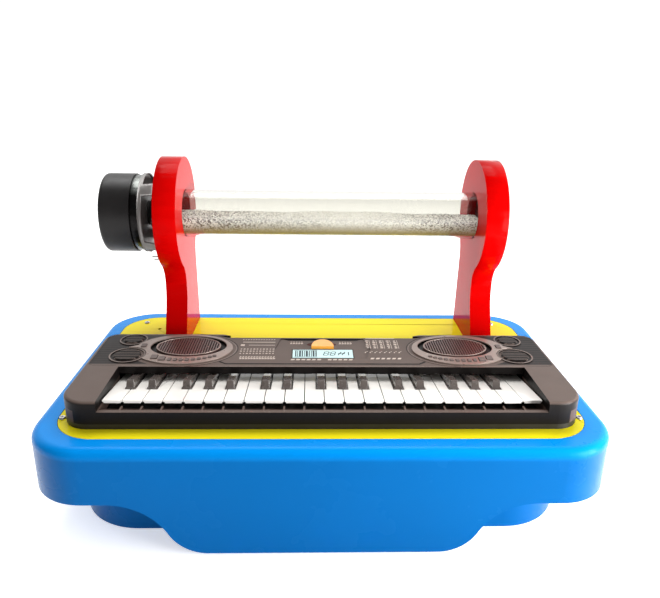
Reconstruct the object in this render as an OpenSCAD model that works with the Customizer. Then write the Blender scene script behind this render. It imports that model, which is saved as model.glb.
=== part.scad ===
// Table-top sound wave demonstrator: a toy keyboard drives a loudspeaker
// at one end of a clear tube that is half filled with foam beads.
// Millimetres, +Z up, origin on the floor under the middle of the base.

/* [Base] */
// Width of the base, left to right
base_w = 530; // [510:1:640]
// Depth of the base, front to back
base_d = 336; // [336:1:420]
// Height of the top panel's face above the floor
base_h = 109; // [95:1:160]
// Height of the thick upper body of the base
slab_h = 54; // [46:1:62]
// Plan radius of the base's corners
base_corner_r = 53; // [44:1:70]
// Radius of the rounded top edge of the upper body
slab_edge_r = 8; // [6:0.5:12]
// Wall of the moulded base
base_wall = 4; // [3:0.5:5]
// Width of the blue rim around the top panel
rim_w = 19.5; // [18:0.5:22]
// How far the plinth is set in at the base's left and right
plinth_inset_x = 25; // [20:1:40]
// How far the plinth is set in at the base's front and back
plinth_inset_y = 38; // [30:1:42]
// Plan radius of the plinth's corners
plinth_corner_r = 65; // [50:1:75]
// Width of the plinth's lips, that it stands on and is screwed up by
plinth_lip_w = 16; // [10:1:20]

/* [Apron] */
// Gap between the aprons and the floor
apron_lift = 3; // [2:0.5:8]
// Half width of an apron's straight foot, as a share of the base's width
apron_foot_share = 0.195; // [0.15:0.005:0.23]
// Half width of an apron where it leaves the upper body, as a share of the base's width
apron_share = 0.36; // [0.33:0.005:0.38]
// How much of the curve at an apron's sides is hollow, as a share
apron_hollow_share = 0.6; // [0.5:0.01:0.7]

/* [Top panel] */
// Thickness of the top panel
panel_t = 5; // [4:0.5:8]
// Plan radius of the panel's corners
panel_corner_r = 42; // [34:1:50]
// Gap between the panel and the rim around it
panel_gap = 0.4; // [0.2:0.1:1]
// Radius of a panel screw's head
panel_screw_head_r = 3.3; // [3:0.1:4]
// Radius of a panel screw's shank
panel_screw_r = 2; // [1.5:0.1:2.5]
// Gap between the heads of the panel's front screws and the line of the keyboard's sides
front_screw_gap = 0.2; // [0.1:0.1:0.6]
// Distance of the front screws from the panel's front edge
front_screw_y_inset = 36; // [30:1:60]
// Distance of the back screws from the panel's side edges
back_screw_inset = 24; // [16:1:40]
// Distance of the back screws from the panel's back edge
back_screw_y_inset = 20; // [12:1:26]
// Radius of the hole that the loudspeaker's leads go down through
lead_hole_r = 2.2; // [1.5:0.1:4]

/* [Uprights] */
// Thickness of an upright
upright_t = 24.5; // [18:0.5:30]
// Distance from the base's left side to the left upright's inner face
left_face_inset = 108; // [95:1:125]
// Distance from the base's right side to the right upright's inner face
right_face_inset = 89; // [80:1:115]
// Distance of the tube's axis behind the middle of the base, as a share of the base's depth
axis_share = 0.289; // [0.275:0.001:0.3]
// Height of the tube's axis above the top panel
axis_h = 149; // [140:1:180]
// Radius of an upright's round head
head_r = 64; // [58:1:72]
// Distance from the tube's axis forward to the neck's front edge
neck_front = 23; // [16:1:30]
// Distance from the tube's axis back to the neck's back edge
neck_back = 44.5; // [38:0.5:50]
// Distance from the tube's axis to the foot's front edge, as a share of the base's depth
foot_front_share = 0.137; // [0.12:0.001:0.15]
// Distance from the tube's axis to the foot's back edge, as a share of the base's depth
foot_back_share = 0.149; // [0.137:0.001:0.151]
// Radius of the hollow between the head and the front of the neck
neck_front_r = 30; // [18:1:40]
// Radius of the hollow between the head and the back of the neck
neck_back_r = 40; // [24:1:50]
// Radius that eases the front of the leg into the foot's flare
flare_r = 60; // [30:1:80]
// Radius of an upright bolt's shank
bolt_r = 3; // [2.5:0.1:4]
// Depth of an upright bolt in the foot
bolt_grip = 16; // [12:1:40]

/* [Tube] */
// Outside radius of the clear tube
tube_r = 27; // [22:0.5:30]
// Wall of the clear tube
tube_wall = 3; // [2:0.5:4]
// Thickness of the film that closes the tube's loudspeaker end
tube_film_t = 0.8; // [0.6:0.1:1.5]
// Clearance of the tube in the uprights' bores
tube_gap = 0.3; // [0.2:0.05:0.6]
// How far the tube reaches into each upright
tube_grip = 17; // [8:0.5:17]
// Height of the bead bed's top above the tube's axis
bead_level = 1.5; // [-8:0.5:8]
// Thickness of the round flange of the tube's end plug
plug_flange_t = 3; // [2:0.5:5]
// How far the end plug's flange stands out around the bore
plug_flange_w = 5; // [3:0.5:8]
// Radius of the end plug's finger knob
plug_knob_r = 9; // [6:0.5:12]

/* [Loudspeaker] */
// Radius of the loudspeaker's flange
flange_r = 51.5; // [50:0.5:56]
// Thickness of the loudspeaker's flange
flange_t = 3; // [3:0.5:4]
// Radius of the opening in front of the cone
cone_open_r = 42; // [40:0.5:44]
// Radius of the basket where it meets the flange
basket_front_r = 47.5; // [46:0.5:49]
// Radius of the basket's back ring
basket_back_r = 45; // [43:0.5:46]
// Length of the basket from the flange to the back ring
basket_l = 15; // [15:0.5:24]
// Thickness of the basket's back ring
basket_back_t = 3; // [2:0.5:4]
// Width of one of the basket's struts
strut_w = 15; // [10:0.5:20]
// Radius of the polished steel front plate
plate_r = 43; // [41:0.5:43.5]
// Thickness of the polished steel front plate
plate_t = 9; // [6:0.5:12]
// Outside radius of the black magnet cover
cover_r = 44.5; // [43:0.5:48]
// Length of the black magnet cover
cover_l = 34; // [26:1:44]
// Wall of the black magnet cover
cover_wall = 2; // [1.5:0.5:3]
// Radius of the magnet cover's rounded edge
cover_edge_r = 4; // [2:0.5:6]
// Radius of the voice coil's former
coil_r = 13; // [11:0.5:15]
// Wall of the voice coil's former
coil_wall = 0.6; // [0.4:0.1:1]
// Clearance around the voice coil
coil_gap = 0.5; // [0.3:0.1:0.8]
// How far the cone moves each way
cone_stroke = 1; // [0.5:0.1:1.2]
// Radius of a loudspeaker screw's head
speaker_screw_head_r = 3.2; // [2.5:0.1:3.6]
// Radius of a loudspeaker screw's shank
speaker_screw_r = 1.6; // [1.2:0.1:2]
// Length of a loudspeaker screw in the upright
speaker_screw_grip = 9; // [6:0.5:12]

/* [Keyboard case] */
// Distance from the base's sides to the keyboard's sides
kb_margin = 27.5; // [27:0.5:34]
// Depth of the keyboard at its ends, as a share of the base's depth
kb_d_share = 0.475; // [0.46:0.005:0.485]
// Height of the keyboard
kb_h = 27; // [26:0.5:32]
// Distance of the keyboard's front face from the base's middle, as a share of the base's depth
kb_front_share = 0.393; // [0.385:0.001:0.396]
// Plan radius of the keyboard's front corners
kb_front_r = 25; // [16:1:30]
// Plan radius of the keyboard's back corners
kb_back_r = 16; // [8:1:20]
// Radius of the rounded top edge of the keyboard
kb_edge_r = 3; // [1.5:0.5:4]
// Wall of the keyboard's case
kb_wall = 2.5; // [2:0.1:3]
// Height of the split between the keyboard's two case halves
kb_split = 5; // [4.5:0.5:6]
// How far the middle of the keyboard's back edge is set in
kb_back_step = 7; // [3:0.5:9]
// Half width of the set-in middle of the keyboard's back edge, as a share of its width
kb_step_share = 0.209; // [0.17:0.001:0.23]
// Depth of the deck behind the keys
deck_d = 86; // [84:0.5:88]
// Width of the cheeks beside the keys
cheek_w = 34.7; // [31:0.1:36]
// Height of the fallboard's lower edge
fallboard_z = 19.6; // [19.4:0.1:20.4]
// Height of the front rail in front of the keys
rail_h = 17; // [15:0.5:18]
// Height of the ledge behind the front rail's lip
ledge_h = 13; // [10:0.5:14]
// Depth of the console's shallow recess
console_depth = 0.8; // [0.4:0.1:1.2]

/* [Keys] */
// Gap between neighbouring white keys
key_gap = 0.8; // [0.5:0.1:1.2]
// Distance from the keyboard's front face to the white keys
key_front = 15.5; // [15:0.5:17]
// Height of a white key's top at its front edge
key_front_z = 21; // [20:0.5:21.5]
// Downward slope of the keys towards the fallboard, degrees
key_slope = 7.8; // [7:0.1:8.5]
// Thickness of a white key's top
key_top_t = 1.8; // [1.5:0.1:2.2]
// Height of a white key's front skirt
key_skirt_h = 3.2; // [3:0.1:4]
// Width of a black key at its base, as a share of a white key's
black_share = 0.45; // [0.41:0.01:0.48]
// Width of a black key at its top, as a share of a white key's
black_top_share = 0.355; // [0.3:0.005:0.4]
// Height of a black key's front above the white keys
black_h = 8.1; // [7.4:0.1:8.2]
// Downward slope of the black keys' tops towards the fallboard, degrees
black_slope = 14.5; // [14:0.1:16]
// How much of the white keys lies in front of the black keys, as a share
black_front_share = 0.512; // [0.48:0.002:0.55]
// How far a black key's front face leans back
black_lean = 3; // [1:0.5:4]
// Clearance around a black key
black_gap = 0.7; // [0.5:0.1:1]
// Distance from the keyboard's back edge to the key hinge
hinge_inset = 47.5; // [43:0.5:52]
// Height of the key hinge's axis
hinge_z = 8; // [7.5:0.1:8.5]
// Radius of the hinge rod
hinge_r = 2; // [1.5:0.1:2.2]
// Radial clearance of a key on the hinge rod
hinge_gap = 0.05; // [0.03:0.01:0.1]
// Width of a key's tail, as a share of a white key's
tail_share = 0.215; // [0.19:0.005:0.24]
// Travel of a white key at its front edge
key_dip = 3.5; // [2.5:0.1:3.6]

/* [Sound pods] */
// Distance of a pod's middle from the keyboard's side
pod_inset_x = 91.5; // [90:0.5:93]
// Distance of a pod's middle from the keyboard's back edge
pod_inset_y = 43.5; // [42.5:0.1:44.5]
// Half width of a trim ring
ring_rx = 51; // [49:0.5:52]
// Half depth of a trim ring
ring_ry = 38; // [37:0.5:38.5]
// Thickness of a trim ring
ring_t = 1.4; // [1:0.1:2]
// Half width of the dark hollow around a grille
hollow_rx = 40; // [38:0.5:41]
// Half depth of the dark hollow around a grille
hollow_ry = 27; // [26:0.5:28]
// Half width of a grille
grille_rx = 34; // [31:0.5:35]
// Half depth of a grille
grille_ry = 23.5; // [21:0.5:24]
// Number of slots in a grille
grille_slots = 24; // [16:1:30]
// How far a grille stands above the case
grille_rise = 1.2; // [0.8:0.1:2.5]
// How far a push button stands above its trim ring
button_rise = 0.9; // [0.9:0.1:1.5]
// Radius of the large end disc
disc_big_r = 14.5; // [12:0.5:15]
// Radius of the small end disc
disc_small_r = 11; // [9:0.5:11.5]

/* [Console] */
// Width of the display window
lcd_w = 63; // [50:1:70]
// Depth of the display window
lcd_d = 20; // [16:0.5:22]
// Distance of the display's front edge from the keyboard's back edge
lcd_inset = 62.6; // [61:0.1:64]
// Half width of the round-backed start button
start_rx = 12; // [9:0.5:14]
// Depth of the round-backed start button
start_ry = 19; // [14:0.5:20]

/* [Hidden] */
white_names = [for (i = [0 : 21]) str("white_key_", chr(97 + i))];
black_names = [for (i = [0 : 14]) str("black_key_", chr(97 + i))];
$fn = 96;

// Every cut runs past the face it opens by this much
over = 1;
// Curves that run into each other lap by this much
blend_lap = 0.02;
// Number of sides drawn for an ellipse
ellipse_sides = 72;

// Base levels and plan sizes
slab_z = base_h - slab_h;
deck_z = base_h - panel_t - base_wall;
panel_z = base_h - panel_t;
plinth_w = base_w - 2 * plinth_inset_x;
plinth_d = base_d - 2 * plinth_inset_y;
flange_corner_share = 0.5;
panel_w = base_w - 2 * rim_w - 2 * panel_gap;
panel_d = base_d - 2 * rim_w - 2 * panel_gap;
apron_foot_half = base_w * apron_foot_share;
apron_half = base_w * apron_share;
apron_drop = slab_z - apron_lift;
apron_run = apron_half - apron_foot_half;
apron_curve_sum = (apron_run * apron_run + apron_drop * apron_drop) / (2 * apron_drop);
apron_hollow_r = apron_curve_sum * apron_hollow_share;
apron_foot_r = apron_curve_sum - apron_hollow_r;
// Height at which the two curves of an apron's side meet, found on the line between their centres
apron_meet_z = slab_z - apron_hollow_r + (apron_curve_sum - apron_drop) * apron_hollow_share;

// Places of the screws that hold the plinth, in the middle of its top flange
plinth_screw_in = (plinth_lip_w + base_wall) / 2;
plinth_screw_shares = [-0.68, 0, 0.68];
plinth_screw_places = [
    for (share = plinth_screw_shares)
        for (side = [-1, 1])
            [share * plinth_w / 2, side * (plinth_d / 2 - plinth_screw_in)],
    for (side = [-1, 1])
        [side * (plinth_w / 2 - plinth_screw_in), 0],
];
plinth_screw_spare = 2;
panel_screw_head_h = 1.6;
panel_screw_spare = 3;
panel_screw_l = panel_t + base_wall + panel_screw_spare;
screw_slot_w = 1;
screw_slot_depth = 0.7;
screw_gap = 0.1;

// The uprights stand on the panel, the tube's axis runs along X
axis_z = base_h + axis_h;
axis_y = base_d * axis_share;
foot_front = base_d * foot_front_share;
foot_back = base_d * foot_back_share;
left_face_x = base_w / 2 - left_face_inset;
right_face_x = base_w / 2 - right_face_inset;
left_outer_x = -left_face_x - upright_t;
right_outer_x = right_face_x + upright_t;
bore_r = tube_r + tube_gap;
// Places of the bolts across an upright's foot, as shares of its half depths
bolt_shares = [-0.55, 0.55];
bolt_head_r = 6.5;
bolt_head_h = 4;
bolt_washer_r = 9;
bolt_washer_t = 1.5;
bolt_socket_r = 3;
bolt_socket_depth = 2.4;

tube_left_x = -left_face_x - tube_grip;
tube_right_x = right_face_x + tube_grip;
tube_inner_r = tube_r - tube_wall;
bead_gap = 0.3;
plug_knob_l = 9;
plug_knob_taper = 1;
plug_spigot_r = tube_inner_r - bead_gap;
plug_spigot_l = 8;

// Loudspeaker stations along X, going left from the upright's outer face
flange_x = left_outer_x - flange_t;
ring_x = flange_x - basket_l;
plate_x = ring_x - basket_back_t;
cover_open_x = plate_x - plate_t;
cover_end_x = cover_open_x - cover_l;
magnet_step = 1.5;
magnet_r = plate_r - magnet_step;
yoke_t = 6;
cover_gap = 0.3;
basket_sheet_t = 1.5;
strut_count = 4;
// Angle of the first strut, which puts a window to the front
strut_turn = 45;
pole_r = coil_r - coil_gap;
plate_bore_r = coil_r + coil_wall + coil_gap;
cone_sheet_t = 1;
cone_rim_r = cone_open_r - coil_gap;
// The surround's front face lies this far behind the upright
cone_setback = cone_stroke + 0.8;
surround_w = 5;
cone_depth = 13;
screw_circle_r = (flange_r + cone_open_r) / 2;
screw_count = 4;
screw_turn = 0;
speaker_screw_head_h = 1.8;
terminal_angle = 236;
terminal_w = 16;
terminal_l = 7;
terminal_t = 2;
lug_w = 2.4;
lug_l = 9;
lug_t = 0.8;
lug_spread = 4.5;

// Keyboard: its own frame has y from its front face and z from the panel
kb_w = base_w - 2 * kb_margin;
kb_d = base_d * kb_d_share;
kb_front = base_d * kb_front_share;
kb_half = kb_w / 2;
// Places of the panel's screws, two beside the keyboard's front corners and two at the back
front_screw_x = kb_half + front_screw_gap + panel_screw_head_r;
panel_screw_places = [
    for (side = [-1, 1])
        [side * front_screw_x, -panel_d / 2 + front_screw_y_inset],
    for (side = [-1, 1])
        [side * (panel_w / 2 - back_screw_inset), panel_d / 2 - back_screw_y_inset],
];
kb_step_half = kb_w * kb_step_share;
fallboard_y = kb_d - deck_d;
deck_top_t = 2.5;
deck_under = kb_h - deck_top_t;
kb_slant = 15.5;
white_count = 22;
well_gap = 0.6;
well_half = kb_half - cheek_w;
key_pitch = 2 * (well_half - well_gap) / white_count;
black_w = key_pitch * black_share;
black_top_w = key_pitch * black_top_share;
black_front = key_front + (fallboard_y - key_front) * black_front_share;
tail_w = key_pitch * tail_share;
hinge_y = kb_d - hinge_inset;
black_after = [0, 1, 3, 4, 5];
// How far each black key of an octave stands from the gap behind it, as a share of the pitch
black_offset_shares = [-0.05, 0.08, -0.14, 0, 0.12];
slope_run = tan(key_slope);
black_places = [
    for (octave = [0 : 2])
        for (k = [0 : 4])
            (octave * 7 + black_after[k] + 1 - white_count / 2 + black_offset_shares[k]) * key_pitch,
];
// The wide part of a key runs on this far behind the fallboard
key_hidden_l = 18;
key_wide_end = fallboard_y + key_hidden_l;
skirt_t = 1.3;
skirt_side_h = 2.8;
skirt_inset = 1.1;
skirt_step = 2;
tail_lap = 16;
eye_r = 3.9;
board_z = kb_wall + 0.6;
board_t = 1.6;
pad_t = 0.4;
pad_r = 3;
pad_y = black_front + 4 * pad_r;
plunger_w = pad_r;
hinge_arm = hinge_y - key_front;
// A plunger stops this far above its pad when its key is down
plunger_spare = 0.35;
plunger_z = board_z + board_t + pad_t + plunger_spare + key_dip * (hinge_y - pad_y) / hinge_arm;
black_foot_rise = 1;
black_foot_w = 1;
rib_w = 1.6;
rib_rise = 3;
rib_h = ledge_h + rib_rise;
ledge_gap = 1.4;
lip_t = 2;
rod_post_w = 3;
board_foot_w = 6;

// Pods: the grille and its hollow lie a little off the ring's middle
pod_x = kb_half - pod_inset_x;
pod_y = kb_d - pod_inset_y;
hollow_off_x = -4;
hollow_off_y = 6;
hollow_floor_t = 1;
grille_gap = 0.4;
grille_flange_w = 2.4;
grille_flange_t = 1;
grille_plate_t = 1.6;
grille_rim_w = 2;
slot_share = 0.5;
ring_tip_inset_x = 33.5;
ring_tip_inset_y = 40.6;
ring_tip_x = kb_half - ring_tip_inset_x;
ring_tip_y = kb_d - ring_tip_inset_y;
disc_big_inset_x = 36.5;
disc_big_inset_y = 59.6;
disc_big_x = kb_half - disc_big_inset_x;
disc_big_y = kb_d - disc_big_inset_y;
disc_small_inset_x = 33;
disc_small_inset_y = 19;
disc_small_x = kb_half - disc_small_inset_x;
disc_small_y = kb_d - disc_small_inset_y;
disc_ring_w = 4;
disc_ring_rise = 0.8;
disc_rise = 1.6;
disc_groove_w = 0.9;
disc_groove_pitch = 3.2;
disc_groove_depth = 0.8;
band_x = hollow_off_x / 2;
band_y = hollow_off_y / 2;
band_rx = (ring_rx + hollow_rx) / 2;
band_ry = (ring_ry + hollow_ry) / 2;
// Buttons on a ring, each with its angle on the ring's middle line, width and depth
big_button_w = 6.4;
big_button_d = 8.5;
small_button_w = 3.4;
small_button_d = 5.6;
small_button_end_d = 2.6;
big_button_angles = [-52, -64.5];
small_button_start = -75;
small_button_step = -7.6;
small_button_count = 9;
select_button_angle = 6;
select_button_w = 5;
select_button_d = 8;
button_gap = 0.4;
web_t = 1;
web_half = 5.6;
web_gap = 0.4;

// Console: a shallow six-sided recess around the start button and the display
console_back_share = 0.096;
console_mid_share = 0.107;
console_half_back = kb_w * console_back_share;
console_half_mid = kb_w * console_mid_share;
lcd_y = kb_d - lcd_inset;
console_front_gap = 3;
console_front_y = lcd_y - console_front_gap;
console_mid_y = lcd_y + lcd_d;
console_back_inset = 13.6;
console_back_y = kb_d - console_back_inset;
start_lcd_gap = 3.5;
start_y = lcd_y + lcd_d + start_lcd_gap;
start_rise = 3;
start_gap = 0.4;
start_flange_w = 2;
start_flange_t = 1;
lcd_rise = 0.4;
lcd_gap = 0.3;
lcd_t = 1.2;

// Shapes shared by several pieces

function ellipse_points(rx, ry, a0 = 0, a1 = 360) =
    [for (i = [0 : ellipse_sides - 1])
        let (a = a0 + (a1 - a0) * i / ellipse_sides)
        [rx * cos(a), ry * sin(a)]];

module ellipse(rx, ry) {
    polygon(ellipse_points(rx, ry));
}

module rounded_rect(w, d, r) {
    square([w - 2 * r, d], center = true);
    square([w, d - 2 * r], center = true);
    for (sx = [-1, 1])
        for (sy = [-1, 1])
            translate([sx * (w / 2 - r), sy * (d / 2 - r)])
                circle(r);
}

// Sweeps a profile around a rounded rectangle with one radius at its front
// corners and one at its back corners. The profile's x runs inwards from the
// outer face and its y runs up.
module around(w, d, front_r, back_r) {
    for (end = [[0, front_r], [180, back_r]])
        rotate([0, 0, end[0]]) {
            translate([0, -d / 2, 0])
                rotate([90, 0, 90])
                    translate([0, 0, -(w / 2 - end[1])])
                        linear_extrude(w - 2 * end[1])
                            children();
            translate([w / 2, 0, 0])
                rotate([90, 0, 180])
                    translate([0, 0, -(d / 2 - end[1])])
                        linear_extrude(d - front_r - back_r)
                            children();
            for (corner = [0, 1])
                translate([(1 - 2 * corner) * (w / 2 - end[1]), -(d / 2 - end[1]), 0])
                    rotate([0, 0, -90 - 90 * corner])
                        rotate_extrude(angle = 90)
                            translate([end[1], 0])
                                mirror([1, 0])
                                    children();
        }
}

// Places what is drawn with its axis along Z so that the axis runs along X
module along_x(x) {
    translate([x, axis_y, axis_z])
        rotate([0, 90, 0])
            children();
}

module to_keyboard() {
    translate([0, -kb_front, base_h])
        children();
}

// Base

module slab_profile() {
    seat_x = rim_w + base_wall;
    difference() {
        union() {
            translate([slab_edge_r, slab_z])
                square([seat_x - slab_edge_r, slab_h]);
            translate([0, slab_z])
                square([seat_x, slab_h - slab_edge_r]);
            translate([slab_edge_r, base_h - slab_edge_r])
                circle(slab_edge_r);
        }
        translate([base_wall, slab_z + base_wall])
            square([seat_x, deck_z - slab_z - base_wall]);
    }
}

// The seat that the panel lies in
module panel_seat() {
    translate([0, 0, panel_z])
        linear_extrude(panel_t + over)
            rounded_rect(panel_w + 2 * panel_gap, panel_d + 2 * panel_gap,
                panel_corner_r + panel_gap);
}

module apron_outline() {
    intersection() {
        apron_shape();
        translate([-apron_half, 0])
            square([2 * apron_half, slab_z + base_wall]);
    }
}

module apron_shape() {
    difference() {
        translate([-apron_half, apron_meet_z])
            square([2 * apron_half, slab_z + base_wall - apron_meet_z]);
        for (side = [-1, 1])
            translate([side * apron_half, slab_z - apron_hollow_r])
                circle(apron_hollow_r + blend_lap);
    }
    translate([-apron_foot_half, apron_lift])
        square([2 * apron_foot_half, apron_meet_z - apron_lift]);
    for (side = [-1, 1])
        translate([side * apron_foot_half, apron_lift + apron_foot_r])
            circle(apron_foot_r + 2 * blend_lap);
}

// Lips along the plinth's four straight sides, one on the floor and one under the upper body
module plinth_lips() {
    lip_w = plinth_w - 2 * plinth_corner_r;
    lip_d = plinth_d - 2 * plinth_corner_r;
    in = plinth_lip_w - base_wall / 2;
    for (z = [0, slab_z - base_wall])
        translate([0, 0, z])
            for (turn = [0, 180])
                rotate([0, 0, turn]) {
                    translate([-lip_w / 2, -plinth_d / 2 + base_wall / 2, 0])
                        cube([lip_w, in, base_wall]);
                    translate([-plinth_w / 2 + base_wall / 2, -lip_d / 2, 0])
                        cube([in, lip_d, base_wall]);
                }
}

module base_plinth() {
    color("dodgerblue")
        difference() {
            union() {
                around(plinth_w, plinth_d, plinth_corner_r, plinth_corner_r)
                    square([base_wall, slab_z]);
                plinth_lips();
            }
            for (place = plinth_screw_places)
                translate([place[0], place[1], slab_z - base_wall - over])
                    cylinder(r = panel_screw_r + screw_gap, h = base_wall + 2 * over);
        }
}

module plinth_screw_row() {
    for (place = plinth_screw_places)
        translate([place[0], place[1], slab_z - base_wall])
            difference() {
                union() {
                    cylinder(r = panel_screw_r, h = 2 * base_wall + plinth_screw_spare);
                    translate([0, 0, -panel_screw_head_h])
                        cylinder(r1 = panel_screw_head_r - screw_slot_depth,
                            r2 = panel_screw_head_r, h = panel_screw_head_h);
                }
                for (turn = [0, 90])
                    rotate([0, 0, turn])
                        translate([-panel_screw_r, -screw_slot_w / 2, -panel_screw_head_h - over])
                            cube([2 * panel_screw_r, screw_slot_w, screw_slot_depth + over]);
            }
}

module bolt_holes(r, l) {
    for (x = [-left_face_x - upright_t / 2, right_face_x + upright_t / 2])
        for (share = bolt_shares)
            translate([x, axis_y + share * (share < 0 ? foot_front : foot_back), 0])
                cylinder(r = r, h = l);
}

module lead_hole() {
    translate([left_outer_x - rim_w, axis_y + neck_back / 4, 0])
        cylinder(r = lead_hole_r, h = base_h + over);
}

module base_shell() {
    color("dodgerblue")
        difference() {
            union() {
                around(base_w, base_d, base_corner_r, base_corner_r)
                    slab_profile();
                translate([0, 0, deck_z])
                    linear_extrude(base_wall + panel_t)
                        rounded_rect(base_w - 2 * rim_w, base_d - 2 * rim_w, base_corner_r - rim_w);
                translate([0, 0, slab_z])
                    linear_extrude(base_wall)
                        difference() {
                            rounded_rect(base_w - 2 * slab_edge_r, base_d - 2 * slab_edge_r,
                                base_corner_r - slab_edge_r);
                            rounded_rect(plinth_w - 2 * plinth_lip_w, plinth_d - 2 * plinth_lip_w,
                                plinth_corner_r * flange_corner_share);
                        }
                for (turn = [0, 180])
                    rotate([0, 0, turn])
                        translate([0, -base_d / 2 + base_wall, 0])
                            rotate([90, 0, 0])
                                linear_extrude(base_wall)
                                    apron_outline();
            }
            panel_seat();
            for (place = panel_screw_places)
                translate([place[0], place[1], deck_z - over])
                    cylinder(r = panel_screw_r + screw_gap, h = base_wall + 2 * over);
            for (place = plinth_screw_places)
                translate([place[0], place[1], slab_z - over])
                    cylinder(r = panel_screw_r + screw_gap, h = base_wall + 2 * over);
            translate([0, 0, deck_z - over])
                bolt_holes(bolt_r + screw_gap, base_wall + 2 * over);
            lead_hole();
        }
}

module top_panel() {
    color("gold")
        difference() {
            translate([0, 0, panel_z])
                linear_extrude(panel_t)
                    rounded_rect(panel_w, panel_d, panel_corner_r);
            for (place = panel_screw_places)
                translate([place[0], place[1], panel_z - over])
                    cylinder(r = panel_screw_r + screw_gap, h = panel_t + 2 * over);
            translate([0, 0, panel_z - over])
                bolt_holes(bolt_r + screw_gap, panel_t + 2 * over);
            lead_hole();
        }
}

module panel_screw_row() {
    for (place = panel_screw_places)
        translate([place[0], place[1], base_h]) {
            translate([0, 0, -panel_screw_l])
                cylinder(r = panel_screw_r, h = panel_screw_l);
            difference() {
                cylinder(r1 = panel_screw_head_r, r2 = panel_screw_head_r - screw_slot_depth,
                    h = panel_screw_head_h);
                for (turn = [0, 90])
                    rotate([0, 0, turn])
                        translate([-panel_screw_r, -screw_slot_w / 2,
                            panel_screw_head_h - screw_slot_depth])
                            cube([2 * panel_screw_r, screw_slot_w, panel_screw_head_h]);
            }
        }
}

// The like screws that hold the panel and the plinth
module casing_screws() {
    color("silver") {
        panel_screw_row();
        plinth_screw_row();
    }
}

// Uprights, drawn with the tube's axis at the origin: x runs back and y runs up

// Height of a hollow's centre below the tube's axis
function hollow_drop(neck, r) = sqrt(pow(head_r + r, 2) - pow(neck + r, 2));

// The front of the leg: straight below the neck, then a bend, then the flare
flare_over = 5;
flare_top = hollow_drop(neck_front, neck_front_r) + flare_over;
flare_angle = atan2(foot_front - neck_front, axis_h - flare_top);
flare_steps = 6;
flare_bend = [
    for (i = [0 : flare_steps])
        let (a = flare_angle * i / flare_steps)
        [-neck_front - flare_r * (1 - cos(a)), -flare_top - flare_r * sin(a)],
];

module upright_outline() {
    back_drop = hollow_drop(neck_back, neck_back_r);
    front_drop = hollow_drop(neck_front, neck_front_r);
    circle(head_r);
    difference() {
        polygon(concat(
            [[foot_back, -axis_h], [neck_back, -back_drop], [neck_back + neck_back_r, -back_drop],
                [0, 0], [-neck_front - neck_front_r, -front_drop], [-neck_front, -front_drop]],
            flare_bend,
            [[-foot_front, -axis_h]]));
        translate([neck_back + neck_back_r, -back_drop])
            circle(neck_back_r + blend_lap);
        translate([-neck_front - neck_front_r, -front_drop])
            circle(neck_front_r + blend_lap);
    }
}

module upright(inner_x, way) {
    difference() {
        translate([inner_x, axis_y, axis_z])
            rotate([90, 0, 90])
                translate([0, 0, way < 0 ? -upright_t : 0])
                    linear_extrude(upright_t)
                        upright_outline();
        along_x(inner_x + (way < 0 ? -upright_t : 0) - over)
            cylinder(r = bore_r, h = upright_t + 2 * over);
        translate([0, 0, base_h - over])
            bolt_holes(bolt_r + screw_gap, bolt_grip + 2 * over);
    }
}

module left_upright() {
    color([0.8, 0.05, 0.05])
        difference() {
            upright(-left_face_x, -1);
            speaker_screw_places()
                cylinder(r = speaker_screw_r + screw_gap, h = 2 * (speaker_screw_grip + screw_gap),
                    center = true);
        }
}

module right_upright() {
    color([0.8, 0.05, 0.05])
        upright(right_face_x, 1);
}

module foot_bolts() {
    difference() {
        union() {
            translate([0, 0, deck_z - bolt_washer_t])
                bolt_holes(bolt_washer_r, bolt_washer_t);
            translate([0, 0, deck_z - bolt_washer_t - bolt_head_h])
                bolt_holes(bolt_head_r, bolt_head_h);
            translate([0, 0, deck_z - bolt_washer_t])
                bolt_holes(bolt_r, bolt_washer_t + base_wall + panel_t + bolt_grip);
        }
        translate([0, 0, deck_z - bolt_washer_t - bolt_head_h - over])
            bolt_holes(bolt_socket_r, bolt_socket_depth + over, $fn = 6);
    }
}

// Everything screwed into the uprights: the bolts from below and the loudspeaker's screws
module upright_screws() {
    color("dimgray") {
        foot_bolts();
        speaker_screw_row();
    }
}

// Tube and what is in it

module sound_tube() {
    color([0.9, 0.95, 1, 0.3])
        difference() {
            along_x(tube_left_x)
                cylinder(r = tube_r, h = tube_right_x - tube_left_x);
            along_x(tube_left_x + tube_film_t)
                cylinder(r = tube_inner_r, h = tube_right_x - tube_left_x);
        }
}

module foam_beads() {
    bed_r = tube_inner_r - bead_gap;
    bed_x = tube_left_x + tube_film_t + bead_gap;
    bed_l = tube_right_x - plug_spigot_l - bead_gap - bed_x;
    color("whitesmoke")
        difference() {
            along_x(bed_x)
                cylinder(r = bed_r, h = bed_l);
            translate([bed_x - over, axis_y - tube_r, axis_z + bead_level])
                cube([bed_l + 2 * over, 2 * tube_r, tube_r]);
        }
}

module tube_end_plug() {
    color("black") {
        along_x(tube_right_x - plug_spigot_l)
            cylinder(r = plug_spigot_r, h = right_outer_x - tube_right_x + plug_spigot_l);
        along_x(tube_right_x + tube_gap)
            cylinder(r = bore_r - tube_gap, h = right_outer_x - tube_right_x - tube_gap);
        along_x(right_outer_x)
            cylinder(r = bore_r + plug_flange_w, h = plug_flange_t);
        along_x(right_outer_x)
            cylinder(r1 = plug_knob_r, r2 = plug_knob_r - plug_knob_taper, h = plug_flange_t + plug_knob_l);
    }
}

// Loudspeaker

module speaker_screw_places() {
    for (i = [0 : screw_count - 1])
        let (a = screw_turn + 360 * i / screw_count)
            translate([left_outer_x, axis_y + screw_circle_r * cos(a), axis_z + screw_circle_r * sin(a)])
                rotate([0, 90, 0])
                    children();
}

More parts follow.
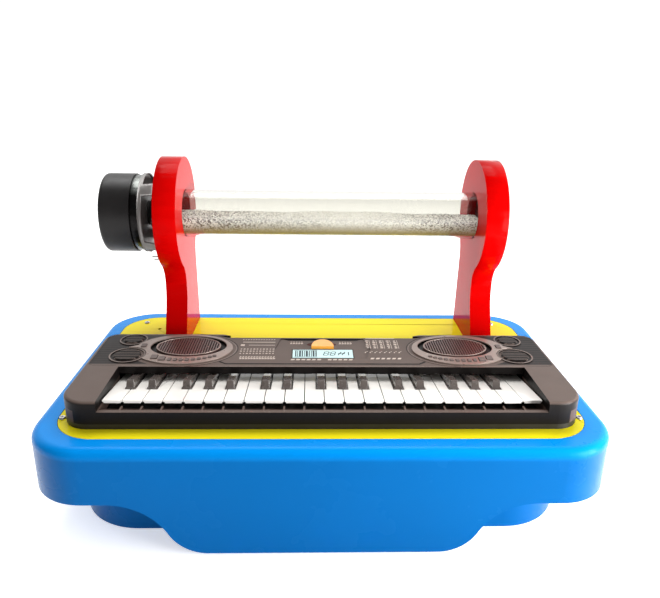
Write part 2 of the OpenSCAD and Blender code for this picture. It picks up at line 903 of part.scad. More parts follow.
// The basket's side view: x is the radius and y runs from the back ring to the flange
module basket_wall() {
    polygon([
        [basket_back_r - basket_sheet_t, basket_back_t],
        [basket_back_r, basket_back_t],
        [basket_front_r, basket_back_t + basket_l],
        [basket_front_r - basket_sheet_t, basket_back_t + basket_l],
    ]);
}

module speaker_basket() {
    color("gray")
        difference() {
            union() {
                along_x(plate_x)
                    rotate_extrude()
                        difference() {
                            union() {
                                square([basket_back_r, basket_back_t]);
                                basket_wall();
                                translate([0, basket_back_t + basket_l])
                                    square([flange_r, flange_t]);
                            }
                            translate([0, -over])
                                square([plate_bore_r, basket_back_t + 2 * over]);
                            translate([0, basket_back_t + basket_l - over])
                                square([cone_open_r, flange_t + 2 * over]);
                        }
                translate([left_outer_x, axis_y, axis_z])
                    rotate([terminal_angle - 90, 0, 0])
                        terminal();
            }
            basket_windows();
            speaker_screw_places()
                cylinder(r = speaker_screw_r + screw_gap, h = 2 * (flange_t + over), center = true);
        }
}

// Four windows between the basket's struts
module basket_windows() {
    window_l = basket_l - basket_sheet_t;
    difference() {
        along_x(ring_x + basket_sheet_t)
            cylinder(r = flange_r + over, h = window_l);
        along_x(ring_x)
            cylinder(r = basket_back_r - 2 * basket_sheet_t, h = basket_l);
        for (i = [0 : strut_count - 1])
            along_x(ring_x)
                rotate([0, 0, strut_turn + 360 * i / strut_count])
                    translate([0, -strut_w / 2, 0])
                        cube([flange_r + 2 * over, strut_w, basket_l]);
    }
}

// The terminal board stands out of the flange's edge, with two soldering lugs
module terminal() {
    translate([-flange_t, -terminal_w / 2, flange_r - over])
        cube([terminal_t, terminal_w, terminal_l]);
    for (side = [-1, 1])
        translate([-flange_t - lug_l + terminal_t, side * lug_spread - lug_w / 2,
            flange_r + terminal_l / 2 - lug_t / 2])
            cube([lug_l, lug_w, lug_t]);
}

module speaker_motor() {
    color("silver")
        along_x(0)
            rotate_extrude() {
                translate([plate_bore_r, cover_open_x])
                    square([plate_r - plate_bore_r, plate_t]);
                translate([plate_bore_r + coil_r, cover_end_x + cover_wall + cover_gap + yoke_t])
                    square([magnet_r - plate_bore_r - coil_r,
                        cover_l - cover_wall - cover_gap - yoke_t]);
                translate([0, cover_end_x + cover_wall + cover_gap])
                    square([magnet_r, yoke_t]);
                translate([0, cover_end_x + cover_wall + cover_gap])
                    square([pole_r, cover_l + plate_t - cover_wall - cover_gap]);
            }
}

module magnet_cover() {
    color("black")
        along_x(0)
            rotate_extrude()
                difference() {
                    union() {
                        translate([0, cover_end_x + cover_edge_r])
                            square([cover_r, cover_l - cover_edge_r]);
                        translate([0, cover_end_x])
                            square([cover_r - cover_edge_r, cover_edge_r]);
                        translate([cover_r - cover_edge_r, cover_end_x + cover_edge_r])
                            circle(cover_edge_r);
                    }
                    translate([-cover_r, cover_end_x - over])
                        square([cover_r, cover_l + 2 * over]);
                    translate([-over, cover_end_x + cover_wall])
                        square([magnet_r + cover_gap + over, cover_l + over]);
                }
}

// The cone's half section: x is the radius and y runs towards the tube
module cone_section() {
    front = left_outer_x - cone_setback;
    cone_r = cone_rim_r - surround_w;
    back = front - cone_depth;
    translate([cone_r, front - cone_sheet_t])
        square([surround_w, cone_sheet_t]);
    polygon([
        [coil_r, back - cone_sheet_t], [coil_r + coil_wall, back - cone_sheet_t],
        [cone_r + coil_wall, front - cone_sheet_t], [cone_r + coil_wall, front], [cone_r, front],
        [coil_r, back],
    ]);
    translate([coil_r, plate_x - plate_t / 2])
        square([coil_wall, back - plate_x + plate_t / 2]);
    polygon([[0, back + cone_sheet_t], [coil_r, back - cone_sheet_t], [coil_r, back],
        [0, back + 2 * cone_sheet_t]]);
}

module speaker_cone() {
    color("darkslategray")
        along_x(0)
            rotate_extrude()
                cone_section();
}

module speaker_screw_row() {
    speaker_screw_places()
        difference() {
            union() {
                translate([0, 0, -flange_t - speaker_screw_head_h])
                    cylinder(r = speaker_screw_head_r, h = speaker_screw_head_h);
                translate([0, 0, -flange_t - over])
                    cylinder(r = speaker_screw_r, h = flange_t + over + speaker_screw_grip);
            }
            for (turn = [0, 90])
                rotate([0, 0, turn])
                    translate([-speaker_screw_r, -screw_slot_w / 2,
                        -flange_t - speaker_screw_head_h - over])
                        cube([2 * speaker_screw_r, screw_slot_w, screw_slot_depth + over]);
        }
}

// Keyboard case

module kb_outline(inset = 0) {
    w = kb_half - inset;
    difference() {
        union() {
            translate([-w, kb_front_r])
                square([2 * w, kb_d - kb_front_r - kb_back_r]);
            translate([-kb_half + kb_front_r, inset])
                square([kb_w - 2 * kb_front_r, kb_front_r]);
            translate([-kb_half + kb_back_r, kb_d - kb_back_r - over])
                square([kb_w - 2 * kb_back_r, kb_back_r + over - inset]);
            for (side = [-1, 1]) {
                translate([side * (kb_half - kb_front_r), kb_front_r])
                    circle(kb_front_r - inset);
                translate([side * (kb_half - kb_back_r), kb_d - kb_back_r])
                    circle(kb_back_r - inset);
            }
        }
        back_notch(inset);
    }
}

module back_notch(inset) {
    foot = kb_step_half + inset;
    polygon([
        [-foot, kb_d - kb_back_step - inset], [foot, kb_d - kb_back_step - inset],
        [foot + kb_slant, kb_d - inset], [foot + kb_slant, kb_d + over],
        [-foot - kb_slant, kb_d + over], [-foot - kb_slant, kb_d - inset],
    ]);
}

module deck_hollows() {
    for (side = [-1, 1])
        translate([side * (pod_x + hollow_off_x), pod_y + hollow_off_y, 0]) {
            translate([0, 0, deck_under + hollow_floor_t])
                linear_extrude(deck_top_t)
                    ellipse(hollow_rx, hollow_ry);
            translate([0, 0, deck_under - over])
                linear_extrude(deck_top_t)
                    ellipse(grille_rx + grille_gap, grille_ry + grille_gap);
        }
    translate([0, 0, kb_h - console_depth])
        linear_extrude(deck_top_t)
            polygon([
                [-console_half_back, console_front_y], [console_half_back, console_front_y],
                [console_half_mid, console_mid_y], [console_half_back, console_back_y],
                [-console_half_back, console_back_y], [-console_half_mid, console_mid_y],
            ]);
    translate([-lcd_w / 2 - lcd_gap, lcd_y - lcd_gap, kb_h - console_depth + lcd_rise - lcd_t])
        cube([lcd_w + 2 * lcd_gap, lcd_d + 2 * lcd_gap, deck_top_t]);
    translate([0, start_y, deck_under - over])
        linear_extrude(deck_top_t + 2 * over)
            start_outline(start_gap);
    button_prisms(deck_under - over, deck_top_t + 2 * over, button_gap);
    translate([0, 0, deck_under - over])
        linear_extrude(deck_top_t + 2 * over)
            mirror([1, 0])
                button_outlines(button_gap);
}

module end_disc(r) {
    difference() {
        cylinder(r = r + disc_ring_w, h = disc_ring_rise);
        translate([0, 0, -over])
            cylinder(r = r + disc_ring_w / 2, h = disc_ring_rise + 2 * over);
    }
    difference() {
        cylinder(r1 = r, r2 = r - disc_rise, h = disc_rise);
        for (i = [-floor(r / disc_groove_pitch) : floor(r / disc_groove_pitch)])
            translate([-r, i * disc_groove_pitch - disc_groove_w / 2, disc_rise - disc_groove_depth])
                cube([2 * r, disc_groove_w, disc_rise]);
    }
}

module keyboard_top_case() {
    color([0.42, 0.37, 0.34])
        to_keyboard()
            difference() {
                union() {
                    difference() {
                        case_block();
                        translate([0, 0, kb_split - over])
                            linear_extrude(deck_under - kb_split + over)
                                kb_outline(kb_wall);
                    }
                    case_insides();
                    for (side = [-1, 1]) {
                        translate([side * disc_big_x, disc_big_y, kb_h])
                            end_disc(disc_big_r);
                        translate([side * disc_small_x, disc_small_y, kb_h])
                            end_disc(disc_small_r);
                    }
                }
                deck_hollows();
                translate([-well_half, kb_wall + lip_t, ledge_h])
                    cube([2 * well_half, key_front - ledge_gap - kb_wall - lip_t + over, kb_h]);
                translate([-well_half, key_front - ledge_gap, -over])
                    cube([2 * well_half, fallboard_y - key_front + ledge_gap, kb_h + 2 * over]);
                translate([-well_half, -over, rail_h])
                    cube([2 * well_half, fallboard_y + over, kb_h]);
            }
    color([0.3, 0.26, 0.24])
        to_keyboard()
            for (i = [1 : white_count - 1])
                translate([(i - white_count / 2) * key_pitch - rib_w / 2, kb_wall + lip_t - over,
                    ledge_h - over])
                    cube([rib_w, key_front - ledge_gap - kb_wall - lip_t + over,
                        rib_h - ledge_h + over]);
}

// The case's outer block with its rounded top edge
module case_block() {
    difference() {
        translate([0, kb_d / 2, 0])
            around(kb_w, kb_d, kb_front_r, kb_back_r) {
                translate([0, kb_split])
                    square([2 * kb_edge_r, kb_h - kb_edge_r - kb_split]);
                translate([kb_edge_r, kb_h - 2 * kb_edge_r])
                    square([kb_edge_r, 2 * kb_edge_r]);
                translate([kb_edge_r, kb_h - kb_edge_r])
                    circle(kb_edge_r);
            }
        translate([0, 0, -over])
            linear_extrude(kb_h + 2 * over)
                back_notch(0);
    }
    translate([0, 0, kb_split])
        linear_extrude(kb_h - kb_split)
            kb_outline(3 * kb_edge_r / 2);
}

// Walls beside the keys, the fallboard and the ledge behind the front rail
module case_insides() {
    for (side = [-1, 1])
        translate([side * (well_half + kb_wall / 2) - kb_wall / 2, kb_wall / 2, kb_split])
            cube([kb_wall, fallboard_y, kb_h - kb_split - deck_top_t / 2]);
    translate([-well_half - kb_wall / 2, fallboard_y, fallboard_z])
        cube([2 * well_half + kb_wall, kb_wall, kb_h - fallboard_z - deck_top_t / 2]);
    translate([-well_half - kb_wall / 2, kb_wall / 2, ledge_h - deck_top_t])
        cube([2 * well_half + kb_wall, key_front - ledge_gap - kb_wall / 2, deck_top_t]);
    translate([-well_half - kb_wall / 2, kb_wall / 2, ledge_h - over])
        cube([2 * well_half + kb_wall, lip_t + kb_wall / 2, rail_h - ledge_h + over]);
}

module keyboard_bottom_case() {
    color([0.12, 0.11, 0.11])
        to_keyboard() {
            difference() {
                linear_extrude(kb_split)
                    kb_outline();
                translate([0, 0, kb_wall])
                    linear_extrude(kb_split)
                        kb_outline(kb_wall);
            }
            translate([-well_half, hinge_y, hinge_z])
                rotate([0, 90, 0])
                    cylinder(r = hinge_r, h = 2 * well_half);
            for (i = [0, 3, 7, 10, 14, 17, 21, 22])
                translate([(i - white_count / 2) * key_pitch - rod_post_w / 2
                    + (i == 0 ? well_gap : 0) - (i == white_count ? well_gap : 0),
                    hinge_y - hinge_r, kb_wall - over])
                    cube([rod_post_w, 2 * hinge_r, hinge_z - kb_wall + hinge_r + over]);
            for (i = [0 : 2 : white_count])
                translate([(i - white_count / 2) * key_pitch - board_foot_w / 2,
                    pad_y - pad_r - board_foot_w / 2, kb_wall - over])
                    cube([board_foot_w, board_foot_w, board_z - kb_wall + over]);
        }
}

// Pods

module pod_places() {
    for (side = [0, 1])
        mirror([side, 0, 0])
            translate([pod_x, pod_y, 0])
                children();
}

module grille() {
    pitch = 2 * (grille_rx - grille_rim_w) / grille_slots;
    top = kb_h + grille_rise;
    difference() {
        union() {
            translate([0, 0, deck_under - grille_flange_t])
                linear_extrude(grille_flange_t)
                    ellipse(grille_rx + grille_flange_w, grille_ry + grille_flange_w);
            translate([0, 0, deck_under - grille_flange_t])
                linear_extrude(top - deck_under + grille_flange_t)
                    ellipse(grille_rx, grille_ry);
        }
        translate([0, 0, deck_under - grille_flange_t - over])
            linear_extrude(top - grille_plate_t - deck_under + grille_flange_t + over)
                ellipse(grille_rx - grille_rim_w, grille_ry - grille_rim_w);
        intersection() {
            translate([0, 0, top - grille_plate_t - over])
                linear_extrude(grille_plate_t + 2 * over)
                    ellipse(grille_rx - grille_rim_w, grille_ry - grille_rim_w);
            for (i = [0 : grille_slots - 1])
                translate([(i + 0.5 - grille_slots / 2) * pitch - pitch * slot_share / 2,
                    -grille_ry, top - grille_plate_t - over])
                    cube([pitch * slot_share, 2 * grille_ry, grille_plate_t + 2 * over]);
        }
    }
}

module speaker_grilles() {
    color([0.35, 0.25, 0.23])
        to_keyboard()
            pod_places()
                translate([hollow_off_x, hollow_off_y, 0])
                    grille();
}

// One ring with its tail between the end discs, and holes for the buttons
module ring_outline() {
    difference() {
        union() {
            translate([pod_x, pod_y])
                ellipse(ring_rx, ring_ry);
            polygon([[pod_x, pod_y + ring_ry], [ring_tip_x, ring_tip_y],
                [pod_x + ring_rx, pod_y - ring_ry / 2], [pod_x, pod_y]]);
        }
        translate([pod_x + hollow_off_x, pod_y + hollow_off_y])
            ellipse(hollow_rx, hollow_ry);
        translate([disc_big_x, disc_big_y])
            circle(disc_big_r + disc_ring_w + button_gap);
        translate([disc_small_x, disc_small_y])
            circle(disc_small_r + disc_ring_w + button_gap);
        button_outlines(button_gap);
    }
}

module trim_rings() {
    color([0.62, 0.54, 0.5])
        to_keyboard()
            for (side = [0, 1])
                mirror([side, 0, 0])
                    translate([0, 0, kb_h])
                        linear_extrude(ring_t)
                            ring_outline();
}

function band_point(a) =
    [pod_x + band_x + band_rx * cos(a), pod_y + band_y + band_ry * sin(a)];

// Push buttons of the right pod, grown by a gap where they are holes
module button_outlines(gap = 0) {
    for (a = big_button_angles)
        translate(band_point(a))
            square([big_button_w + 2 * gap, big_button_d + 2 * gap], center = true);
    for (i = [0 : small_button_count - 1])
        let (d = small_button_d + (small_button_end_d - small_button_d) * i / (small_button_count - 1))
            translate(band_point(small_button_start + small_button_step * i))
                square([small_button_w + 2 * gap, d + 2 * gap], center = true);
    translate(band_point(select_button_angle))
        square([select_button_w + 2 * gap, select_button_d + 2 * gap], center = true);
}

module button_prisms(z, h, gap = 0) {
    translate([0, 0, z])
        linear_extrude(h)
            button_outlines(gap);
}

// Rubber keypad: one web under the deck with all the buttons of a pod
module keypad() {
    last = small_button_start + small_button_step * (small_button_count - 0.5);
    first = select_button_angle + 8;
    steps = 24;
    web_z = deck_under - web_gap - web_t;
    inner = [for (i = [0 : steps])
        let (a = first + (last - first) * i / steps)
        [(band_rx - web_half) * cos(a), (band_ry - web_half) * sin(a)]];
    outer = [for (i = [steps : -1 : 0])
        let (a = first + (last - first) * i / steps)
        [(band_rx + web_half) * cos(a), (band_ry + web_half) * sin(a)]];
    translate([pod_x + band_x, pod_y + band_y, web_z])
        linear_extrude(web_t)
            polygon(concat(inner, outer));
    button_prisms(web_z, kb_h + ring_t + button_rise - web_z);
}

module right_keypad() {
    color([0.36, 0.32, 0.31])
        to_keyboard()
            keypad();
}

module left_keypad() {
    color([0.36, 0.32, 0.31])
        to_keyboard()
            mirror([1, 0, 0])
                keypad();
}

// Console

module start_outline(gap = 0) {
    intersection() {
        ellipse(start_rx + gap, start_ry + gap);
        translate([-start_rx - gap, -gap])
            square([2 * (start_rx + gap), start_ry + 2 * gap]);
    }
}

module start_button() {
    color("orange")
        to_keyboard()
            translate([0, start_y, 0]) {
                translate([0, 0, deck_under - web_gap - start_flange_t])
                    linear_extrude(start_flange_t)
                        start_outline(start_flange_w);
                translate([0, 0, deck_under - web_gap - start_flange_t])
                    linear_extrude(kb_h + start_rise - console_depth
                        - deck_under + web_gap + start_flange_t)
                        start_outline();
            }
}

module display_window() {
    color([0.73, 0.88, 0.88])
        to_keyboard()
            translate([-lcd_w / 2, lcd_y, kb_h - console_depth + lcd_rise - lcd_t])
                cube([lcd_w, lcd_d, lcd_t]);
}

// Keys

// Height of the white keys' top plane at a distance from the front face
function white_z(y) = key_front_z - (y - key_front) * slope_run;

// Height of the black keys' tops at a distance from the front face
function black_z(y) =
    white_z(black_front) + black_h - (y - black_front - black_lean) * tan(black_slope);

// A slab along X with the side view that its children draw in y and z
module from_side(x, w) {
    translate([x - w / 2, 0, 0])
        rotate([90, 0, 90])
            linear_extrude(w)
                children();
}

module tail_outline() {
    difference() {
        union() {
            polygon([
                [key_wide_end - tail_lap, white_z(key_wide_end - tail_lap) - key_top_t / 2],
                [key_wide_end, white_z(key_wide_end) - key_top_t / 2],
                [hinge_y, hinge_z + eye_r], [hinge_y, hinge_z - eye_r],
                [key_wide_end - tail_lap, plunger_z + key_top_t],
            ]);
            translate([hinge_y, hinge_z])
                circle(eye_r);
        }
        translate([hinge_y, hinge_z])
            circle(hinge_r + hinge_gap);
    }
}

// Room for the black keys beside a white key
module black_room() {
    for (x = black_places)
        translate([x - black_w / 2 - black_foot_w / 2 - black_gap, black_front - black_gap, -kb_h])
            cube([black_w + black_foot_w + 2 * black_gap, kb_d, 3 * kb_h]);
}

module white_key(i) {
    x = (i + 0.5 - white_count / 2) * key_pitch;
    w = key_pitch - key_gap;
    color("white")
        to_keyboard() {
            difference() {
                union() {
                    from_side(x, w)
                        polygon([
                            [key_front, key_front_z], [key_wide_end, white_z(key_wide_end)],
                            [key_wide_end, white_z(key_wide_end) - skirt_step],
                            [key_front, key_front_z - skirt_step],
                        ]);
                    from_side(x, w - 2 * skirt_inset)
                        polygon([
                            [key_front, key_front_z - key_top_t / 2],
                            [key_wide_end, white_z(key_wide_end) - key_top_t / 2],
                            [key_wide_end, white_z(key_wide_end) - skirt_side_h],
                            [key_front + skirt_t, key_front_z - skirt_side_h],
                            [key_front + skirt_t, key_front_z - key_skirt_h],
                            [key_front, key_front_z - key_skirt_h],
                        ]);
                }
                from_side(x, w - 2 * skirt_inset - 2 * skirt_t)
                    polygon([
                        [key_front + skirt_t, white_z(key_front + skirt_t) - key_top_t],
                        [key_wide_end + over, white_z(key_wide_end + over) - key_top_t],
                        [key_wide_end + over, 0], [key_front + skirt_t, 0],
                    ]);
                black_room();
            }
            from_side(x, tail_w)
                tail_outline();
            from_side(x, plunger_w)
                polygon([
                    [pad_y - plunger_w / 2, plunger_z], [pad_y + plunger_w / 2, plunger_z],
                    [pad_y + plunger_w / 2, white_z(pad_y) - key_top_t / 2],
                    [pad_y - plunger_w / 2, white_z(pad_y) - key_top_t / 2],
                ]);
        }
}

module black_key(i) {
    x = black_places[i];
    foot = black_front + black_foot_w / 2;
    foot_end = key_wide_end - tail_lap - black_gap;
    color([0.25, 0.22, 0.21])
        to_keyboard() {
            intersection() {
                from_side(x, black_w)
                    polygon([
                        [foot, white_z(foot) - key_skirt_h], [foot, white_z(foot)],
                        [foot + black_lean, black_z(foot + black_lean)],
                        [key_wide_end, black_z(key_wide_end)],
                        [key_wide_end, white_z(key_wide_end) - key_skirt_h],
                    ]);
                translate([x, kb_d, 0])
                    rotate([90, 0, 0])
                        linear_extrude(kb_d)
                            polygon([
                                [-black_w / 2, 0], [black_w / 2, 0],
                                [black_w / 2, white_z(fallboard_y)],
                                [black_top_w / 2, white_z(black_front) + black_h],
                                [-black_top_w / 2, white_z(black_front) + black_h],
                                [-black_w / 2, white_z(fallboard_y)],
                            ]);
            }
            from_side(x, black_w + black_foot_w)
                polygon([
                    [black_front, white_z(black_front) - key_skirt_h],
                    [black_front, white_z(black_front) + black_foot_rise],
                    [foot_end, white_z(foot_end) + black_foot_rise],
                    [foot_end, white_z(foot_end) - key_skirt_h],
                ]);
            from_side(x, tail_w)
                tail_outline();
            from_side(x, plunger_w)
                polygon([
                    [pad_y - plunger_w / 2, plunger_z], [pad_y + plunger_w / 2, plunger_z],
                    [pad_y + plunger_w / 2, white_z(pad_y)], [pad_y - plunger_w / 2, white_z(pad_y)],
                ]);
        }
}

module key_contact_board() {
    color("seagreen")
        to_keyboard() {
            translate([-well_half + well_gap, pad_y - 3 * pad_r, board_z])
                cube([2 * (well_half - well_gap), 6 * pad_r, board_t]);
            for (i = [0 : white_count - 1])
                translate([(i + 0.5 - white_count / 2) * key_pitch, pad_y, board_z + board_t])
                    cylinder(r = pad_r, h = pad_t);
            for (x = black_places)
                translate([x, pad_y, board_z + board_t])
                    cylinder(r = pad_r, h = pad_t);
        }
}

base_shell();
base_plinth();
top_panel();
casing_screws();
left_upright();
right_upright();
upright_screws();
sound_tube();
foam_beads();
tube_end_plug();
speaker_basket();
speaker_motor();
magnet_cover();
speaker_cone();
keyboard_top_case();
keyboard_bottom_case();
speaker_grilles();
trim_rings();
left_keypad();
right_keypad();
start_button();
display_window();
key_contact_board();
for (i = [0 : len(white_names) - 1])
    white_key(i);
for (i = [0 : len(black_names) - 1])
    black_key(i);
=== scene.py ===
"""Looks for the sound tube demonstrator. Metres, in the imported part's own frame."""
import math

import bmesh
import bpy
from mathutils import Matrix, Vector, noise


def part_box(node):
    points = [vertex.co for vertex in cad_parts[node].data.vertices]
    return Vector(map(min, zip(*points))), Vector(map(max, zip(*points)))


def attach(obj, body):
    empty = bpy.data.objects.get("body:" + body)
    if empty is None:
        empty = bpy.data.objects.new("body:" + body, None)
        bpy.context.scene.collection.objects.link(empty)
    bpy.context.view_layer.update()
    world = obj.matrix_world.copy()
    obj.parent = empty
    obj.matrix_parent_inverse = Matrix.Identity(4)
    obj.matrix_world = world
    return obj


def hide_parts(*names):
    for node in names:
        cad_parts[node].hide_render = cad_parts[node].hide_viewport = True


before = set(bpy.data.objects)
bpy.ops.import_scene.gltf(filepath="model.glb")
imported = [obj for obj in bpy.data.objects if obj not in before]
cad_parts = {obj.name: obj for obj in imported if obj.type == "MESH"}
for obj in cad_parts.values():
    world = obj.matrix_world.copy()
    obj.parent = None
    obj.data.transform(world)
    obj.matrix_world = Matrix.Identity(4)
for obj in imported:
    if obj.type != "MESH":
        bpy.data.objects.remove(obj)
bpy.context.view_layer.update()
MM = 0.001


def middle(node, axis):
    """Where a CAD node's middle lies on an axis: 0 is X, 1 is Y and 2 is Z."""
    low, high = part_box(node)
    return (low[axis] + high[axis]) / 2


# Levels and places, from the CAD nodes. The trim rings lie on the keyboard's deck.
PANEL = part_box("top_panel")[1][2]
RAIL = PANEL + 17 * MM
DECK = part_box("trim_rings")[0][2]
CONSOLE = DECK - 0.8 * MM
AXIS_Y = middle("sound_tube", 1)
AXIS_Z = middle("sound_tube", 2)
KEYBOARD_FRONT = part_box("keyboard_top_case")[0][1]
KEYBOARD_END, KEYBOARD_BACK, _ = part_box("keyboard_top_case")[1]

# The right side's oval pod, its grille, and the two discs beside it as x, y and radius
POD_X, POD_Y = KEYBOARD_END - 91.5 * MM, middle("trim_rings", 1)
POD_RX, POD_RY = 55.5 * MM, 42.5 * MM
GRILLE_X, GRILLE_Y = KEYBOARD_END - 95.5 * MM, middle("speaker_grilles", 1)
DISCS = (
    (KEYBOARD_END - 36.5 * MM, KEYBOARD_BACK - 59.6 * MM, 14.5 * MM),
    (KEYBOARD_END - 33 * MM, KEYBOARD_BACK - 19 * MM, 11 * MM),
)


# Building blocks for materials

def lin(r, g, b):
    """An sRGB colour, 0 to 255, as the linear colour that shaders take."""
    def one(c):
        c /= 255
        return c / 12.92 if c <= 0.04045 else ((c + 0.055) / 1.055) ** 2.4

    return (one(r), one(g), one(b), 1)


class Nodes:
    """A node tree with shortcuts for sums on its sockets."""

    def __init__(self, tree):
        self.tree = tree

    def node(self, kind, **settings):
        n = self.tree.nodes.new(kind)
        for key, value in settings.items():
            setattr(n, key, value)
        return n

    def feed(self, socket, value):
        """Gives an input the output of another node, or a constant."""
        if isinstance(value, bpy.types.NodeSocket):
            self.tree.links.new(value, socket)
        else:
            socket.default_value = value

    def part(self, vector, letter):
        """The X, Y or Z of a vector."""
        n = self.node("ShaderNodeSeparateXYZ")
        self.feed(n.inputs[0], vector)
        return n.outputs[letter]

    def math(self, operation, a, b=0.0):
        n = self.node("ShaderNodeMath", operation=operation)
        self.feed(n.inputs[0], a)
        self.feed(n.inputs[1], b)
        return n.outputs[0]

    def product(self, first, *others):
        for value in others:
            first = self.math("MULTIPLY", first, value)
        return first

    def over(self, a, b):
        return self.math("GREATER_THAN", a, b)

    def under(self, a, b):
        return self.math("LESS_THAN", a, b)

    def span(self, value, low, high, at_low, at_high, smooth=False):
        """value mapped from low..high to at_low..at_high, held at the ends."""
        n = self.node("ShaderNodeMapRange", interpolation_type="SMOOTHSTEP" if smooth else "LINEAR")
        self.feed(n.inputs["Value"], value)
        for key, v in zip(("From Min", "From Max", "To Min", "To Max"), (low, high, at_low, at_high)):
            n.inputs[key].default_value = v
        return n.outputs["Result"]


class Shader(Nodes):
    """A Principled material with shortcuts for the procedural detail on it."""

    def __init__(self, name, color, rough, metal=0.0, coat=0.0, ior=1.5):
        self.mat = bpy.data.materials.new(name)
        self.mat.use_nodes = True
        super().__init__(self.mat.node_tree)
        self.bsdf = self.tree.nodes["Principled BSDF"]
        self.color = color
        self.put("Base Color", color)
        self.put("Roughness", rough)
        self.put("Metallic", metal)
        self.put("Coat Weight", coat)
        self.put("IOR", ior)
        self.where = self.node("ShaderNodeTexCoord").outputs["Object"]
        self.bumped = None

    def put(self, name, value):
        self.feed(self.bsdf.inputs[name], value)

    def noise(self, scale, detail=3.0, stretch=None):
        where = self.where
        if stretch:
            mapping = self.node("ShaderNodeMapping")
            self.feed(mapping.inputs["Vector"], where)
            self.feed(mapping.inputs["Scale"], stretch)
            where = mapping.outputs["Vector"]
        n = self.node("ShaderNodeTexNoise")
        self.feed(n.inputs["Vector"], where)
        self.feed(n.inputs["Scale"], scale)
        self.feed(n.inputs["Detail"], detail)
        return n.outputs["Fac"]

    def cells(self, scale, output="Distance"):
        n = self.node("ShaderNodeTexVoronoi")
        self.feed(n.inputs["Vector"], self.where)
        self.feed(n.inputs["Scale"], scale)
        return n.outputs[output]

    def axis(self, letter):
        return self.part(self.where, letter)

    def facing(self, letter):
        """How far the surface faces along an axis, from -1 to 1."""
        return self.part(self.node("ShaderNodeNewGeometry").outputs["Normal"], letter)

    def tint(self, amount, color):
        """Blends the colour towards another one, by an amount from 0 to 1."""
        n = self.node("ShaderNodeMix", data_type="RGBA")
        for socket, value in zip((n.inputs[0], n.inputs[6], n.inputs[7]), (amount, self.color, color)):
            self.feed(socket, value)
        self.color = n.outputs[2]
        self.put("Base Color", self.color)

    def mottle(self, scale, low, high, detail=3.0):
        """Makes the colour a little lighter and darker from place to place."""
        n = self.node("ShaderNodeHueSaturation")
        self.feed(n.inputs["Value"], self.span(self.noise(scale, detail), 0.3, 0.7, low, high))
        self.feed(n.inputs["Color"], self.color)
        self.color = n.outputs["Color"]
        self.put("Base Color", self.color)

    def wear(self, scale, low, high):
        """Varies the gloss."""
        self.put("Roughness", self.span(self.noise(scale, 4.0), 0.3, 0.7, low, high))

    def bump(self, height, strength, distance):
        """Adds relief, on top of what is there already."""
        n = self.node("ShaderNodeBump")
        self.feed(n.inputs["Strength"], strength)
        self.feed(n.inputs["Distance"], distance)
        self.feed(n.inputs["Height"], height)
        if self.bumped is not None:
            self.feed(n.inputs["Normal"], self.bumped)
        self.bumped = n.outputs["Normal"]
        self.put("Normal", self.bumped)


def plastic(name, color, rough, spread=0.05, coat=0.0,
            scale=30, mottled=0.05, grain=900, grain_depth=0.02):
    """Moulded plastic. Scale and grain are per metre, and grain_depth is in millimetres."""
    s = Shader(name, color, rough, coat=coat)
    s.mottle(scale, 1 - mottled, 1 + mottled)
    s.wear(scale * 2.3, rough - spread, rough + spread)
    s.bump(s.noise(grain, detail=2.0), strength=0.25, distance=grain_depth * MM)
    return s


# Materials, one function each

def blue_plastic():
    s = plastic("blue_plastic", lin(2, 85, 147), 0.26,
                scale=9, mottled=0.03, grain=420, grain_depth=0.01)
    s.put("Specular Tint", (0.08, 0.4, 0.8, 1))
    s.put("Specular IOR Level", 0.15)
    z = s.axis("Z")
    # light gathers in the rolled upper edge
    s.tint(s.span(z, PANEL - 11 * MM, PANEL - 2 * MM, 0.0, 1.0), lin(2, 130, 212))
    # painted shade: faint darker patches low on the skirt, strongest at the floor
    low_shade_top = 60 * MM
    low = s.span(z, 0.0, low_shade_top, 1.0, 0.0)
    low_shade_patches = s.span(s.noise(70, detail=5.0), 0.5, 0.75, 0.0, 0.25)
    s.tint(s.product(low, low_shade_patches), lin(2, 82, 160))
    return s.mat


def yellow_sheet():
    s = plastic("yellow_sheet", lin(222, 208, 26), 0.12, spread=0.04,
                scale=7, mottled=0.02, grain=300, grain_depth=0.01)
    s.put("Specular IOR Level", 0.06)
    # painted shade: the cut edge of the sheet is painted greenish and darker, as the shade in the gap round
    # the panel
    edge_gap_shade = s.span(s.axis("Z"), PANEL - 1.2 * MM, PANEL - 0.2 * MM, 1.0, 0.0)
    s.tint(edge_gap_shade, lin(120, 128, 10))
    return s.mat


def red_acrylic():
    s = Shader("red_acrylic", lin(186, 2, 2), 0.14, ior=1.49)
    s.put("Specular Tint", (1.0, 0.5, 0.5, 1))
    s.put("Specular IOR Level", 0.03)
    s.mottle(14, 0.96, 1.04)
    s.wear(60, 0.11, 0.17)
    s.bump(s.noise(30, detail=1.0), strength=0.03, distance=0.2 * MM)
    return s.mat


def clear_tube():
    s = Shader("clear_tube", lin(230, 229, 223), 0.02, ior=1.4)
    s.put("Transmission Weight", 1.0)
    haze = s.noise(22, detail=4.0, stretch=(0.5, 1.6, 1.6))
    s.put("Roughness", s.span(haze, 0.4, 0.75, 0.01, 0.08))
    s.bump(s.noise(12, detail=2.0), strength=0.05, distance=0.3 * MM)
    return s.mat


